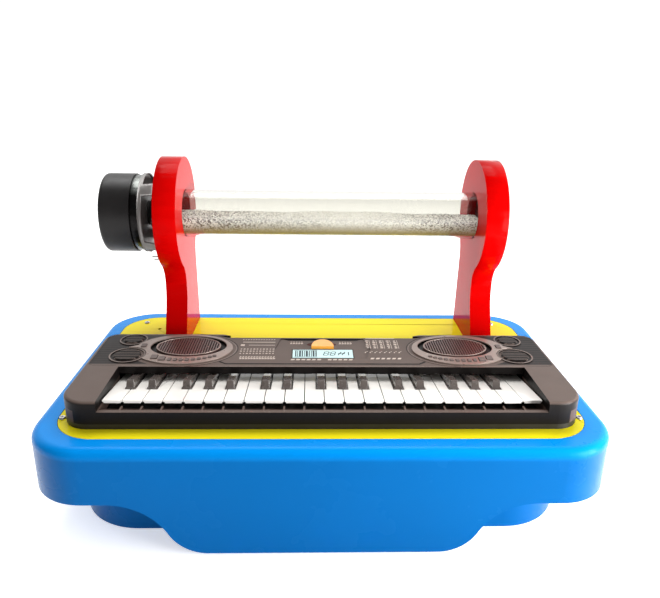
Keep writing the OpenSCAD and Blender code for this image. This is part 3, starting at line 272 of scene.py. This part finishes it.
def foam():
    s = Shader("foam_bead", lin(252, 250, 244), 0.5)
    x, z = s.axis("X"), s.axis("Z")
    beads_per_metre = 700
    # single beads show as lighter and darker grains, most at the tube's ends
    grains = s.node("ShaderNodeSeparateColor")
    s.feed(grains.inputs[0], s.cells(beads_per_metre, "Color"))
    left_end = s.span(x, -120 * MM, 20 * MM, 0.95, 0.2)
    right_end = s.span(x, 50 * MM, 130 * MM, 0.2, 0.8)
    upper = s.span(z, AXIS_Z - 20 * MM, AXIS_Z - 10 * MM, 0.4, 1.0)
    contrast = s.product(s.math("MAXIMUM", left_end, right_end), upper)
    s.tint(s.product(s.span(grains.outputs[0], 0.3, 0.65, 1.0, 0.0), contrast), lin(94, 80, 72))
    s.tint(s.product(s.span(grains.outputs[1], 0.6, 0.95, 0.0, 1.0), 0.7), lin(255, 255, 255))
    # painted reflection: the underside is painted with the yellow light that the panel below throws up
    s.tint(s.span(z, AXIS_Z - 18 * MM, AXIS_Z - 5 * MM, 0.85, 0.0), lin(128, 104, 34))
    # a little glow stands for the light scattered from bead to bead
    s.put("Emission Color", s.color)
    s.put("Emission Strength", 0.3)
    s.bump(s.cells(beads_per_metre), strength=0.3, distance=0.4 * MM)
    return s.mat


def black_gloss():
    s = plastic("black_gloss", lin(24, 22, 22), 0.4, spread=0.04,
                scale=40, mottled=0.15, grain=700, grain_depth=0.01)
    s.put("Specular IOR Level", 0.25)
    return s.mat


def black_matt():
    s = plastic("black_matt", lin(20, 18, 17), 0.42, spread=0.06,
                scale=40, mottled=0.2, grain=1500, grain_depth=0.04)
    return s.mat


def zinc(name, color, rough):
    s = Shader(name, color, rough, metal=1.0)
    s.mottle(160, 0.9, 1.08)
    s.wear(220, rough - 0.06, rough + 0.08)
    return s


def plate_steel():
    s = zinc("plate_steel", lin(104, 107, 104), 0.3)
    y = s.math("SUBTRACT", s.axis("Y"), AXIS_Y)
    z = s.math("SUBTRACT", s.axis("Z"), AXIS_Z)
    # fine turning marks around the loudspeaker's axis, in radians per metre
    turning = 9000
    radius = s.math("SQRT", s.math("ADD", s.product(y, y), s.product(z, z)))
    s.bump(s.math("SINE", s.product(radius, turning)), strength=0.15, distance=0.02 * MM)
    # painted reflection: the plate's edge is painted near black round the middle, as a mirrored dark front,
    # with bright patches above and below
    dark_reflection_to, bright_reflection_from = 26 * MM, 31 * MM
    s.tint(s.span(s.math("ABSOLUTE", z), dark_reflection_to, bright_reflection_from, 0.97, 0.0), lin(26, 24, 24))
    return s.mat


def basket_grey():
    s = plastic("basket_grey", lin(134, 131, 128), 0.36, spread=0.08,
                scale=60, mottled=0.1, grain=1300, grain_depth=0.03)
    s.put("Metallic", 0.3)
    # Faces that look towards the loudspeaker's axis are painted nearly black, as painted shade inside the
    # basket. There the way out from the axis, times the face's normal, is well below nought.
    shaded_inward = -20 * MM
    out_y = s.product(s.math("SUBTRACT", s.axis("Y"), AXIS_Y), s.facing("Y"))
    out_z = s.product(s.math("SUBTRACT", s.axis("Z"), AXIS_Z), s.facing("Z"))
    s.tint(s.under(s.math("ADD", out_y, out_z), shaded_inward), lin(22, 18, 17))
    return s.mat


def paper_cone():
    s = Shader("cone_paper", lin(26, 23, 22), 0.85)
    s.mottle(300, 0.7, 1.4, detail=5.0)
    s.bump(s.noise(900, detail=5.0), strength=0.5, distance=0.3 * MM)
    # pressed rings, in radians per metre
    rings = 2400
    s.bump(s.math("SINE", s.product(s.axis("X"), rings)), strength=0.2, distance=0.2 * MM)
    return s.mat


def case_top():
    s = plastic("case_top", lin(94, 81, 75), 0.34, scale=24, grain=2200)
    s.put("Specular IOR Level", 0.09)
    # x runs from the middle to both ends, so that the two sides match
    x = s.math("ABSOLUTE", s.axis("X"))
    y, z = s.axis("Y"), s.axis("Z")

    def oval(cx, cy, rx, ry):
        """1 in an upright oval column, 0 outside it."""
        dx = s.product(s.math("SUBTRACT", x, cx), 1 / rx)
        dy = s.product(s.math("SUBTRACT", y, cy), 1 / ry)
        return s.under(s.math("ADD", s.product(dx, dx), s.product(dy, dy)), 1.0)

    def waves(crest_y, pitch):
        return s.math("COSINE", s.product(s.math("SUBTRACT", y, crest_y), 2 * math.pi / pitch))

    # a darker ribbed field lies outside each pod, up to the deck's ends
    field_start, field_end = 150 * MM, KEYBOARD_END - 3.7 * MM
    field_front, field_back = -52 * MM, KEYBOARD_BACK - 5.05 * MM
    field_rib = 5.6 * MM
    field = s.product(
        s.math("SUBTRACT", 1.0, oval(POD_X, POD_Y, POD_RX, POD_RY)),
        s.over(x, field_start), s.under(x, field_end),
        s.over(y, field_front), s.under(y, field_back),
        s.over(z, DECK - 0.2 * MM),
    )
    s.tint(s.product(field, 0.95), lin(36, 29, 27))
    # painted shade: dark stripes between the ribs, which have no relief of their own
    s.tint(s.product(field, s.span(waves(0.0, field_rib), 0.1, 0.6, 0.0, 0.9)), lin(14, 11, 10))

    # domed discs, each in a plain ring; their ribs are light stripes, painted highlights on the crests
    ring_w, dome_edge, disc_rib = 5 * MM, 0.5 * MM, 6.4 * MM
    for cx, cy, r in DISCS:
        raised = s.over(z, DECK + 0.2 * MM)
        s.tint(s.product(oval(cx, cy, r + ring_w, r + ring_w), raised), lin(84, 73, 68))
        dome = s.product(oval(cx, cy, r + dome_edge, r + dome_edge), raised)
        s.tint(dome, lin(34, 28, 26))
        s.tint(s.product(dome, s.span(waves(cy, disc_rib), -0.9, -0.3, 0.9, 0.0)), lin(118, 104, 97))

    # painted shade: upright faces of the case are painted nearly black, and so are the hollows round the
    # grilles
    s.tint(s.span(s.math("ABSOLUTE", s.facing("Z")), 0.2, 0.75, 1.0, 0.0), lin(20, 17, 16))
    grille_hollow_shade = oval(GRILLE_X, GRILLE_Y, 41.2 * MM, 28.2 * MM)
    s.tint(s.product(grille_hollow_shade, s.under(z, DECK - 0.3 * MM)), lin(10, 8, 8))
    # below the level of the rail all but the rounded front is brown again
    behind_front = s.over(y, KEYBOARD_FRONT + 3.05 * MM)
    s.tint(s.product(s.under(z, RAIL), behind_front, 0.8), lin(92, 76, 69))
    return s.mat


def grille_plastic():
    s = plastic("grille_brown", lin(92, 68, 64), 0.34, spread=0.06,
                scale=60, mottled=0.1, grain=1800, grain_depth=0.03)
    return s.mat


def trim_metallic():
    s = plastic("trim_taupe", lin(142, 126, 118), 0.32, spread=0.06, scale=50, grain=2600)
    s.put("Metallic", 0.35)
    return s.mat


def keypad_rubber():
    s = plastic("keypad_rubber", lin(92, 80, 76), 0.55,
                scale=90, mottled=0.08, grain=2200, grain_depth=0.03)
    return s.mat


def orange_gloss():
    return plastic("orange_plastic", lin(248, 172, 66), 0.22, coat=0.3, scale=70, mottled=0.06).mat


def display_glass():
    s = plastic("display", lin(192, 228, 228), 0.12, spread=0.03, coat=0.5,
                scale=80, mottled=0.03, grain_depth=0.01)
    return s.mat


def board_green():
    s = plastic("board_green", lin(20, 90, 50), 0.35, spread=0.06, scale=60, mottled=0.1, grain=1500)
    # the contact pads on the board are dark
    pad_t = 0.4 * MM
    pads_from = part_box("key_contact_board")[1][2] - pad_t
    s.tint(s.span(s.axis("Z"), pads_from + 0.02 * MM, pads_from + 0.04 * MM, 0.0, 1.0), lin(40, 38, 38))
    return s.mat


def white_key():
    s = plastic("key_white", lin(250, 247, 241), 0.2, coat=0.4,
                scale=40, mottled=0.015, grain=700, grain_depth=0.01)
    # painted shade: the keys are painted a little greyer in patches towards the back, under the fallboard
    unshaded_to, shade_full_from = -90 * MM, -58 * MM
    back = s.span(s.axis("Y"), unshaded_to, shade_full_from, 0.0, 1.0)
    patches = s.span(s.noise(120, detail=4.0), 0.35, 0.7, 0.1, 0.35)
    s.tint(s.product(back, patches), lin(196, 186, 180))
    return s.mat


def black_key():
    s = plastic("key_black", lin(84, 76, 72), 0.26, coat=0.5,
                scale=60, mottled=0.12, grain=1400, grain_depth=0.03)
    return s.mat


def flat_ink(name, color, rough=0.5):
    s = Shader(name, color, rough)
    s.put("Specular IOR Level", 0.12)
    s.mottle(700, 0.82, 1.06, detail=5.0)
    s.wear(300, rough - 0.1, rough + 0.1)
    return s.mat


MATERIALS = {
    "blue": blue_plastic(),
    "yellow": yellow_sheet(),
    "red": red_acrylic(),
    "tube": clear_tube(),
    "foam": foam(),
    "gloss": black_gloss(),
    "matt": black_matt(),
    "screw": zinc("screw_steel", lin(196, 196, 196), 0.28).mat,
    "dark_screw": zinc("dark_screw", lin(58, 56, 55), 0.35).mat,
    "plate": plate_steel(),
    "basket": basket_grey(),
    "cone": paper_cone(),
    "case": case_top(),
    "grille": grille_plastic(),
    "trim": trim_metallic(),
    "keypad": keypad_rubber(),
    "orange": orange_gloss(),
    "display": display_glass(),
    "board": board_green(),
    "white_key": white_key(),
    "black_key": black_key(),
    "ink_pale": flat_ink("ink_pale", lin(206, 192, 180)),
    "ink_dark": flat_ink("ink_dark", lin(30, 26, 24)),
    "ink_red": flat_ink("ink_red", lin(74, 24, 14)),
    "lcd_ink": flat_ink("lcd_ink", lin(52, 62, 70)),
    "groove_and_shade_ink": flat_ink("groove_and_shade_ink", lin(14, 11, 10)),
}


# What each CAD node wears: its material, and the width of its softened edges in millimetres

FINISH = {
    "base_shell": ("blue", 0),
    "base_plinth": ("blue", 0),
    "top_panel": ("yellow", 0.5),
    "casing_screws": ("screw", 0.2),
    "left_upright": ("red", 0.5),
    "right_upright": ("red", 0.5),
    "upright_screws": ("dark_screw", 0.2),
    "sound_tube": ("tube", 0),
    "foam_beads": ("foam", 0),
    "tube_end_plug": ("matt", 0.5),
    "speaker_basket": ("basket", 0.25),
    "speaker_motor": ("plate", 0.4),
    "magnet_cover": ("gloss", 0),
    "speaker_cone": ("cone", 0),
    "keyboard_top_case": ("case", 0),
    "keyboard_bottom_case": ("matt", 0),
    "speaker_grilles": ("grille", 0),
    "trim_rings": ("trim", 0.25),
    "left_keypad": ("keypad", 0.3),
    "right_keypad": ("keypad", 0.3),
    "start_button": ("orange", 0.8),
    "display_window": ("display", 0.15),
    "key_contact_board": ("board", 0),
}
KEY_FINISH = {
    "white_key": ("white_key", 0.45),
    "black_key": ("black_key", 0.5),
}


def finish_of(name):
    """A node's row in FINISH, or in KEY_FINISH for one of the keys."""
    for kind, finish in KEY_FINISH.items():
        if name.startswith(kind):
            return finish
    return FINISH[name]


def soften(node, width):
    """Rounds a node's sharp edges a little, when it is rendered."""
    weld = node.modifiers.new("weld", "WELD")
    weld.merge_threshold = 1e-6
    bevel = node.modifiers.new("soft_edge", "BEVEL")
    bevel.width = width
    bevel.segments = 2
    bevel.limit_method = "ANGLE"
    bevel.angle_limit = math.radians(35)
    bevel.harden_normals = True


def dress_nodes():
    for name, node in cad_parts.items():
        material, edge = finish_of(name)
        node.data.materials.clear()
        node.data.materials.append(MATERIALS[material])
        if edge:
            soften(node, edge * MM)


# Building blocks for meshes

def mesh_object(name, verts, faces, material, smooth=False):
    """A new piece, which rides on the stand: everything that doesn't move."""
    mesh = bpy.data.meshes.new(name)
    mesh.from_pydata(verts, [], faces)
    mesh.materials.append(MATERIALS[material])
    if smooth:
        mesh.polygons.foreach_set("use_smooth", [True] * len(mesh.polygons))
    mesh.update()
    obj = bpy.data.objects.new(name, mesh)
    bpy.context.scene.collection.objects.link(obj)
    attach(obj, "stand")
    return obj


def skin(rings, points, closed=False):
    """Quads between closed rings of points, and from the last ring to the first if closed."""
    faces = []
    for i in range(rings if closed else rings - 1):
        a, b = i * points, (i + 1) % rings * points
        for j in range(points):
            k = (j + 1) % points
            faces.append((a + j, a + k, b + k, b + j))
    return faces


class Marks:
    """Thin flat printed marks at the level z, in one mesh. All other sizes are in millimetres."""

    ink_t = 0.06

    def __init__(self, z):
        self.z, self.verts, self.faces = z, [], []

    def poly(self, points):
        start, n = len(self.verts), len(points)
        for dz in (0.0, self.ink_t):
            self.verts += [(x * MM, y * MM, self.z + dz * MM) for x, y in points]
        self.faces.append(tuple(start + n + i for i in range(n)))
        for i in range(n):
            j = (i + 1) % n
            self.faces.append((start + i, start + j, start + n + j, start + n + i))

    def rect(self, x, y, w, h, lean=0.0):
        """A mark w by h round x, y, whose top leans to the right."""
        corners = ((-1, -1), (1, -1), (1, 1), (-1, 1))
        self.poly([(x + sx * w / 2 + sy * lean, y + sy * h / 2) for sx, sy in corners])

    def row(self, x, y, count, pitch, w, h, lean=0.0):
        """Equal marks side by side, the first one at x."""
        for i in range(count):
            self.rect(x + i * pitch, y, w, h, lean)

    def line(self, points, w, closed=False):
        """A polyline of even width, drawn as joined quads."""
        left, right = [], []
        n = len(points)
        for i, p in enumerate(points):
            a = points[(i - 1) % n] if closed or i else p
            b = points[(i + 1) % n] if closed or i < n - 1 else p
            d = Vector((b[0] - a[0], b[1] - a[1])).normalized()
            left.append((p[0] - d.y * w / 2, p[1] + d.x * w / 2))
            right.append((p[0] + d.y * w / 2, p[1] - d.x * w / 2))
        for i in range(n if closed else n - 1):
            j = (i + 1) % n
            self.poly([right[i], right[j], left[j], left[i]])

    def done(self, name, material):
        return mesh_object(name, self.verts, self.faces, material)


def arc(cx, cy, rx, ry, start, end, steps=44):
    """Points on an oval, from one angle to another in degrees."""
    angles = [math.radians(start + (end - start) * i / steps) for i in range(steps + 1)]
    return [(cx + rx * math.cos(a), cy + ry * math.sin(a)) for a in angles]


# Printed legends, generic ticks and lines only

def deck_legends():
    marks = Marks(DECK)
    # left block: ticks, a bar, a square and a line, three rows of dots and a double row
    marks.row(x=-86, y=10.8, count=13, pitch=2.8, w=1.3, h=1.8, lean=0.4)
    marks.rect(x=-68.5, y=3.8, w=35, h=1.3)
    marks.rect(x=-85.5, y=-4.4, w=4.2, h=4.2)
    marks.rect(x=-65, y=-4.4, w=28, h=0.9)
    dot_widths = (1.2, 2.0, 1.5)
    for j, y in enumerate((-14.7, -20.2, -26)):
        for i in range(11):
            marks.rect(x=-86 + i * 3.4, y=y, w=dot_widths[(i + j) % 3], h=1.8, lean=0.2)
    marks.row(x=-85, y=-35, count=13, pitch=2.85, w=1.5, h=2.6, lean=0.5)
    marks.row(x=-84.5, y=-38.8, count=13, pitch=2.85, w=2.0, h=2.4, lean=0.5)
    # right block: a bar, columns of short lines, dots and a bold row
    marks.rect(x=64, y=15.4, w=32, h=1.2)
    line_widths = (3.2, 2.2, 2.8)
    for i in range(5):
        for j in range(5):
            y = 8 - j * 4.6
            marks.rect(x=48.5 + i * 7.6, y=y, w=line_widths[(i + j) % 3], h=2.6, lean=0.2)
            marks.rect(x=51.4 + i * 7.6, y=y, w=0.7, h=3.4)
    marks.row(x=45, y=-22.8, count=8, pitch=5.1, w=1.2, h=2.4, lean=0.3)
    marks.row(x=47, y=-20.4, count=8, pitch=5.1, w=1.4, h=0.9)
    marks.row(x=51, y=-38, count=6, pitch=5.6, w=3.4, h=3.4, lean=0.7)
    # two groups of short bars under the display
    marks.row(x=-31, y=-41, count=6, pitch=5.4, w=3.6, h=2.6, lean=0.4)
    marks.row(x=6.8, y=-41, count=5, pitch=5.4, w=3.6, h=2.6, lean=0.4)
    marks.done("deck_legends", "ink_pale")


def console_legends():
    marks = Marks(CONSOLE)
    pitch = 2.9
    for middle_x in (-28, 25):
        left = middle_x - 2 * pitch
        marks.row(x=left, y=6.2, count=5, pitch=pitch, w=1.6, h=1.4)
        marks.row(x=left, y=2.2, count=5, pitch=pitch, w=2.1, h=2.6, lean=0.3)
    marks.done("console_legends", "ink_pale")


def console_band():
    """The dark band along the console's back edge: painted shade of the recess's back wall."""
    front, back = 9.8, 13.7
    front_half, back_half = 37, 43
    band = Marks(CONSOLE)
    band.poly([(-front_half, front), (front_half, front), (back_half, back), (-back_half, back)])
    band.done("console_band", "groove_and_shade_ink")


def button_surround():
    """The eye-shaped field round the start button."""
    cx, cy, half_w, half_h, steps = -1, -0.5, 16, 7.5, 24
    angles = [math.pi * i / steps for i in range(steps + 1)]
    lid = [(half_w * math.cos(a), half_h * math.sin(a) ** 1.4) for a in angles]
    eye = Marks(CONSOLE)
    eye.poly([(cx + x, cy + y) for x, y in lid] + [(cx - x, cy - y) for x, y in lid[1:-1]])
    eye.done("button_surround", "ink_red")


# Display, with generic bars and number segments

DISPLAY_LOW, DISPLAY_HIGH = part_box("display_window")
DISPLAY_LEFT, DISPLAY_RIGHT = DISPLAY_LOW[0] / MM, DISPLAY_HIGH[0] / MM
DISPLAY_HALF = (DISPLAY_HIGH[1] - DISPLAY_LOW[1]) / 2 / MM
DISPLAY_Y = middle("display_window", 1) / MM


def digit(marks, x, y, w=4.6, h=9.0, t=1.0, lean=0.9):
    """The seven segments of a digit, all dark."""
    for row in (-1, 0, 1):
        marks.rect(x + row * lean, y + row * h / 2, w - t, 0.9 * t, lean=0.1)
    for side in (-1, 1):
        for half in (-1, 1):
            marks.rect(x + side * w / 2 + half * lean / 2, y + half * h / 4, t, h / 2 - t, lean / 3)


def display_segments():
    marks = Marks(DISPLAY_HIGH[2])
    # upright bars, as width and gap, between two thin lines that end a little beyond them
    bars = (
        (1.2, 1.0), (0.7, 1.2), (1.9, 0.9), (1.2, 1.3), (0.7, 1.0),
        (2.2, 0.9), (1.1, 1.2), (0.8, 1.0), (1.9, 1.0), (1.3, 0),
    )
    bars_left, bars_h, line_y = DISPLAY_LEFT + 2.6, 14.5, 8.4
    x = bars_left
    for w, gap in bars:
        marks.rect(x + w / 2, DISPLAY_Y, w, bars_h)
        x += w + gap
    line_left, line_right = DISPLAY_LEFT + 1.5, x + 0.5
    for side in (-1, 1):
        marks.rect((line_left + line_right) / 2, DISPLAY_Y + side * line_y, w=line_right - line_left, h=0.7)
    digit(marks, 3.6, DISPLAY_Y)
    digit(marks, 10.6, DISPLAY_Y)
    # a zigzag under a bar, and an upright stroke at the end
    for i in range(4):
        marks.rect(x=16.8 + i * 1.9, y=DISPLAY_Y + (1.6 if i % 2 else -1.4), w=1.1, h=5.2, lean=0.8)
    marks.rect(x=19.6, y=DISPLAY_Y + 0.4, w=7.4, h=0.9, lean=0.4)
    marks.rect(x=27.0, y=DISPLAY_Y, w=1.0, h=8.4)
    marks.done("display_segments", "lcd_ink")


def display_surround():
    margin_x, margin_y = 1.1, 1.2
    left, right = DISPLAY_LEFT - margin_x, DISPLAY_RIGHT + margin_x
    front, back = DISPLAY_Y - DISPLAY_HALF - margin_y, DISPLAY_Y + DISPLAY_HALF + margin_y
    rim = Marks(CONSOLE)
    rim.line([(left, front), (right, front), (right, back), (left, back)], w=0.9, closed=True)
    rim.done("display_surround", "ink_dark")


# Parting lines and highlights on the deck

def pod_arc(side, wider, deeper, first, last):
    """Part of the oval round a pod, in degrees from the back along its inner side."""
    cx, cy = side * POD_X / MM, POD_Y / MM
    rx, ry = POD_RX / MM + wider, POD_RY / MM + deeper
    return arc(cx, cy, rx, ry, 90 + side * first, 90 + side * last)


def deck_grooves():
    grooves = Marks(DECK)
    grooves.line([(-105, -46.1), (-98.5, -51.3), (97.5, -51.3), (104, -46.1)], w=2.4)
    deck_end = ((206, -55.2), (229, -55.2), (233.4, -53), (233.4, 20), (230, 23.6), (200, 23.8))
    for side in (-1, 1):
        grooves.line([(side * x, y) for x, y in deck_end], w=0.5)
        grooves.line(pod_arc(side, wider=1.0, deeper=0.0, first=0, last=172), w=0.7)
        grooves.rect(x=side * 118, y=17, w=2, h=2.6)
    grooves.done("deck_grooves", "groove_and_shade_ink")


def deck_highlights():
    glints = Marks(DECK)
    glints.line([(-200, -57.2), (200, -57.2)], w=0.5)
    for side in (-1, 1):
        glints.line(pod_arc(side, wider=-0.7, deeper=-1.5, first=5, last=165), w=0.4)
    glints.done("deck_highlights", "trim")


def disc_ring_shine():
    ring_rise = 0.8 * MM
    shine = Marks(DECK + ring_rise)
    for side in (-1, 1):
        for cx, cy, r in DISCS:
            ring_r = r / MM + 3
            shine.line(arc(side * cx / MM, cy / MM, ring_r, ring_r, 0, 360, steps=48), w=0.5)
    shine.done("disc_ring_shine", "trim")


def grille_rim(side, name):
    """A thin rounded rim, bent round a grille's oval."""
    cx, cy = side * GRILLE_X, GRILLE_Y
    rx, ry = 33.2 * MM, 22.7 * MM
    half_w, half_h, rise = 0.75 * MM, 0.45 * MM, 1.2 * MM
    rings, points = 96, 8
    verts = []
    for i in range(rings):
        a = 2 * math.pi * i / rings
        outward = Vector((math.cos(a) / rx, math.sin(a) / ry)).normalized()
        for j in range(points):
            b = -2 * math.pi * j / points
            out = half_w * math.cos(b)
            x = cx + rx * math.cos(a) + out * outward.x
            y = cy + ry * math.sin(a) + out * outward.y
            verts.append((x, y, DECK + rise + half_h * math.sin(b)))
    mesh_object(name, verts, skin(rings, points, closed=True), "trim", smooth=True)


# Foam beads

BED_LOW, BED_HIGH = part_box("foam_beads")
BED_R = (BED_HIGH[1] - BED_LOW[1]) / 2
BED_LENGTH = BED_HIGH[0] - BED_LOW[0]


def bed_level(x):
    """Height of the beads' top over the tube's axis at x: shallow drifts, lower at the right."""
    low, fall_from = -1.8 * MM, 60 * MM
    drifts = 0.66 * MM * math.sin(x * 34 + 0.6) + 0.42 * MM * math.sin(x * 83 + 1.9)
    fall = 2.0 * MM * max(0.0, (x - fall_from) / (120 * MM)) ** 1.4
    return low + drifts - fall


def half_width(level):
    """Half the width of the tube's inside at a height over its axis."""
    return math.sqrt(BED_R * BED_R - level * level)


def bed_ring(x, across, under):
    """The bed's outline at x: its rough top from front to back, then the tube's inside."""
    level = bed_level(x)
    half = half_width(level)
    points = []
    for j in range(across + 1):
        y = -half + 2 * half * j / across
        fine = 0.55 * noise.noise(Vector((x * 520, y * 520, 3.1)))
        coarse = 0.6 * noise.noise(Vector((x * 190, y * 190, 7.7)))
        edge = 1 - abs(2 * j / across - 1) ** 6
        points.append((x, AXIS_Y + y, AXIS_Z + level + (fine + coarse) * edge * MM))
    start = math.atan2(level, half)
    for j in range(1, under):
        a = start - (math.pi + 2 * start) * j / under
        points.append((x, AXIS_Y + BED_R * math.cos(a), AXIS_Z + BED_R * math.sin(a)))
    return points


def bead_bed():
    along, across, under = 330, 30, 30
    verts = []
    for i in range(along + 1):
        verts += bed_ring(BED_LOW[0] + BED_LENGTH * i / along, across, under)
    points = across + under
    faces = skin(along + 1, points)
    faces.append(tuple(range(points))[::-1])
    faces.append(tuple(along * points + j for j in range(points)))
    bed = mesh_object("bead_bed", verts, faces, "foam", smooth=True)
    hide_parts("foam_beads")


def loose_beads(count=900):
    """Single beads that lie on the bed."""
    ico = bmesh.new()
    bmesh.ops.create_icosphere(ico, subdivisions=1, radius=1.0)
    shape = [v.co.copy() for v in ico.verts]
    tris = [[v.index for v in f.verts] for f in ico.faces]
    ico.free()
    end_gap, wall_gap, rise = 2 * MM, 1.6 * MM, 0.3 * MM
    verts, faces = [], []
    for k in range(count):
        # the first bead lies half way along
        along = noise.random() if k else 0.5
        across = noise.random() * 2 - 1
        x = BED_LOW[0] + end_gap + (BED_LENGTH - 2 * end_gap) * along
        level = bed_level(x)
        y = across * (half_width(level) - wall_gap)
        size = (0.55 + 0.5 * noise.random()) * MM
        centre = Vector((x, AXIS_Y + y, AXIS_Z + level + rise))
        start = len(verts)
        verts += [centre + corner * size for corner in shape]
        faces += [[start + t for t in tri] for tri in tris]
    mesh_object("loose_beads", verts, faces, "foam", smooth=True)


# Studio

def area_light(name, location, target, size, power):
    data = bpy.data.lights.new(name, "AREA")
    data.shape = "RECTANGLE"
    data.size, data.size_y = size
    data.energy = power
    obj = bpy.data.objects.new(name, data)
    obj.location = location
    obj.rotation_mode = "QUATERNION"
    obj.rotation_quaternion = (Vector(target) - Vector(location)).to_track_quat("-Z", "Y")
    bpy.context.scene.collection.objects.link(obj)


def white_floor():
    half = 9
    corners = [(-half, -half, 0), (half, -half, 0), (half, half, 0), (-half, half, 0)]
    mesh = bpy.data.meshes.new("floor")
    mesh.from_pydata(corners, [], [(0, 1, 2, 3)])
    s = Shader("floor_white", lin(250, 250, 250), 0.8)
    s.mottle(3, 0.99, 1.01)
    s.put("Emission Color", (1, 1, 1, 1))
    s.put("Emission Strength", 0.55)
    mesh.materials.append(s.mat)
    obj = bpy.data.objects.new("floor", mesh)
    bpy.context.scene.collection.objects.link(obj)


def studio_world():
    """Dark in front, where the camera stands, white behind, brightest overhead and at the right."""
    world = bpy.data.worlds.new("studio")
    world.use_nodes = True
    sky = Nodes(world.node_tree)
    background = sky.tree.nodes["Background"]
    sky.feed(background.inputs["Color"], (1, 1, 1, 1))
    direction = sky.node("ShaderNodeTexCoord").outputs["Generated"]
    x, y, z = (sky.part(direction, letter) for letter in "XYZ")
    behind = sky.span(y, 0.1, 0.5, 0.0, 1.0, smooth=True)
    overhead = sky.span(z, 0.2, 0.95, 0.8, 1.6, smooth=True)
    far_right = sky.span(x, 0.3, 0.95, 0.0, 0.4, smooth=True)
    all_round = sky.span(x, -0.6, 0.95, 0.25, 0.45, smooth=True)
    backdrop = sky.product(behind, sky.math("ADD", overhead, far_right))
    sky.feed(background.inputs["Strength"], sky.math("ADD", backdrop, all_round))
    return world


def photo_camera():
    """The camera as solved from the photograph: its turns in radians, its focal length in pixels."""
    pitch, yaw, roll = 0.336578042, 0.0337411535, 0.0167652730
    place = Vector((-0.0140912, -0.6380585, PANEL + 0.3018702))
    photo_w, focal_length, sensor_w = 660, 639.028602, 36
    forward = Vector((
        math.sin(yaw) * math.cos(pitch),
        math.cos(yaw) * math.cos(pitch),
        -math.sin(pitch),
    ))
    level = Vector((math.cos(yaw), -math.sin(yaw), 0))
    above = level.cross(forward)
    right = level * math.cos(roll) + above * math.sin(roll)
    up = above * math.cos(roll) - level * math.sin(roll)
    data = bpy.data.cameras.new("camera")
    data.sensor_width = sensor_w
    data.lens = sensor_w * focal_length / photo_w
    data.clip_start = 10 * MM
    camera = bpy.data.objects.new("camera", data)
    bpy.context.scene.collection.objects.link(camera)
    camera.matrix_world = Matrix.Translation(place) @ Matrix((right, up, -forward)).transposed().to_4x4()
    return camera


dress_nodes()
deck_legends()
console_legends()
console_band()
button_surround()
display_segments()
display_surround()
deck_grooves()
deck_highlights()
disc_ring_shine()
grille_rim(-1, "left_grille_rim")
grille_rim(1, "right_grille_rim")
noise.seed_set(7)
bead_bed()
loose_beads()

area_light("soft_top", (-0.1, 0.7, 1.9), target=(0, 0, 0.1), size=(1.6, 1.0), power=28)
area_light("soft_right", (0.8, -0.55, 0.25), target=(0.2, -0.1, 0.06), size=(0.5, 0.45), power=17)
white_floor()
scene = bpy.context.scene
scene.world = studio_world()
scene.view_settings.view_transform = "Standard"
scene.view_settings.exposure = 0.0
scene.camera = photo_camera()
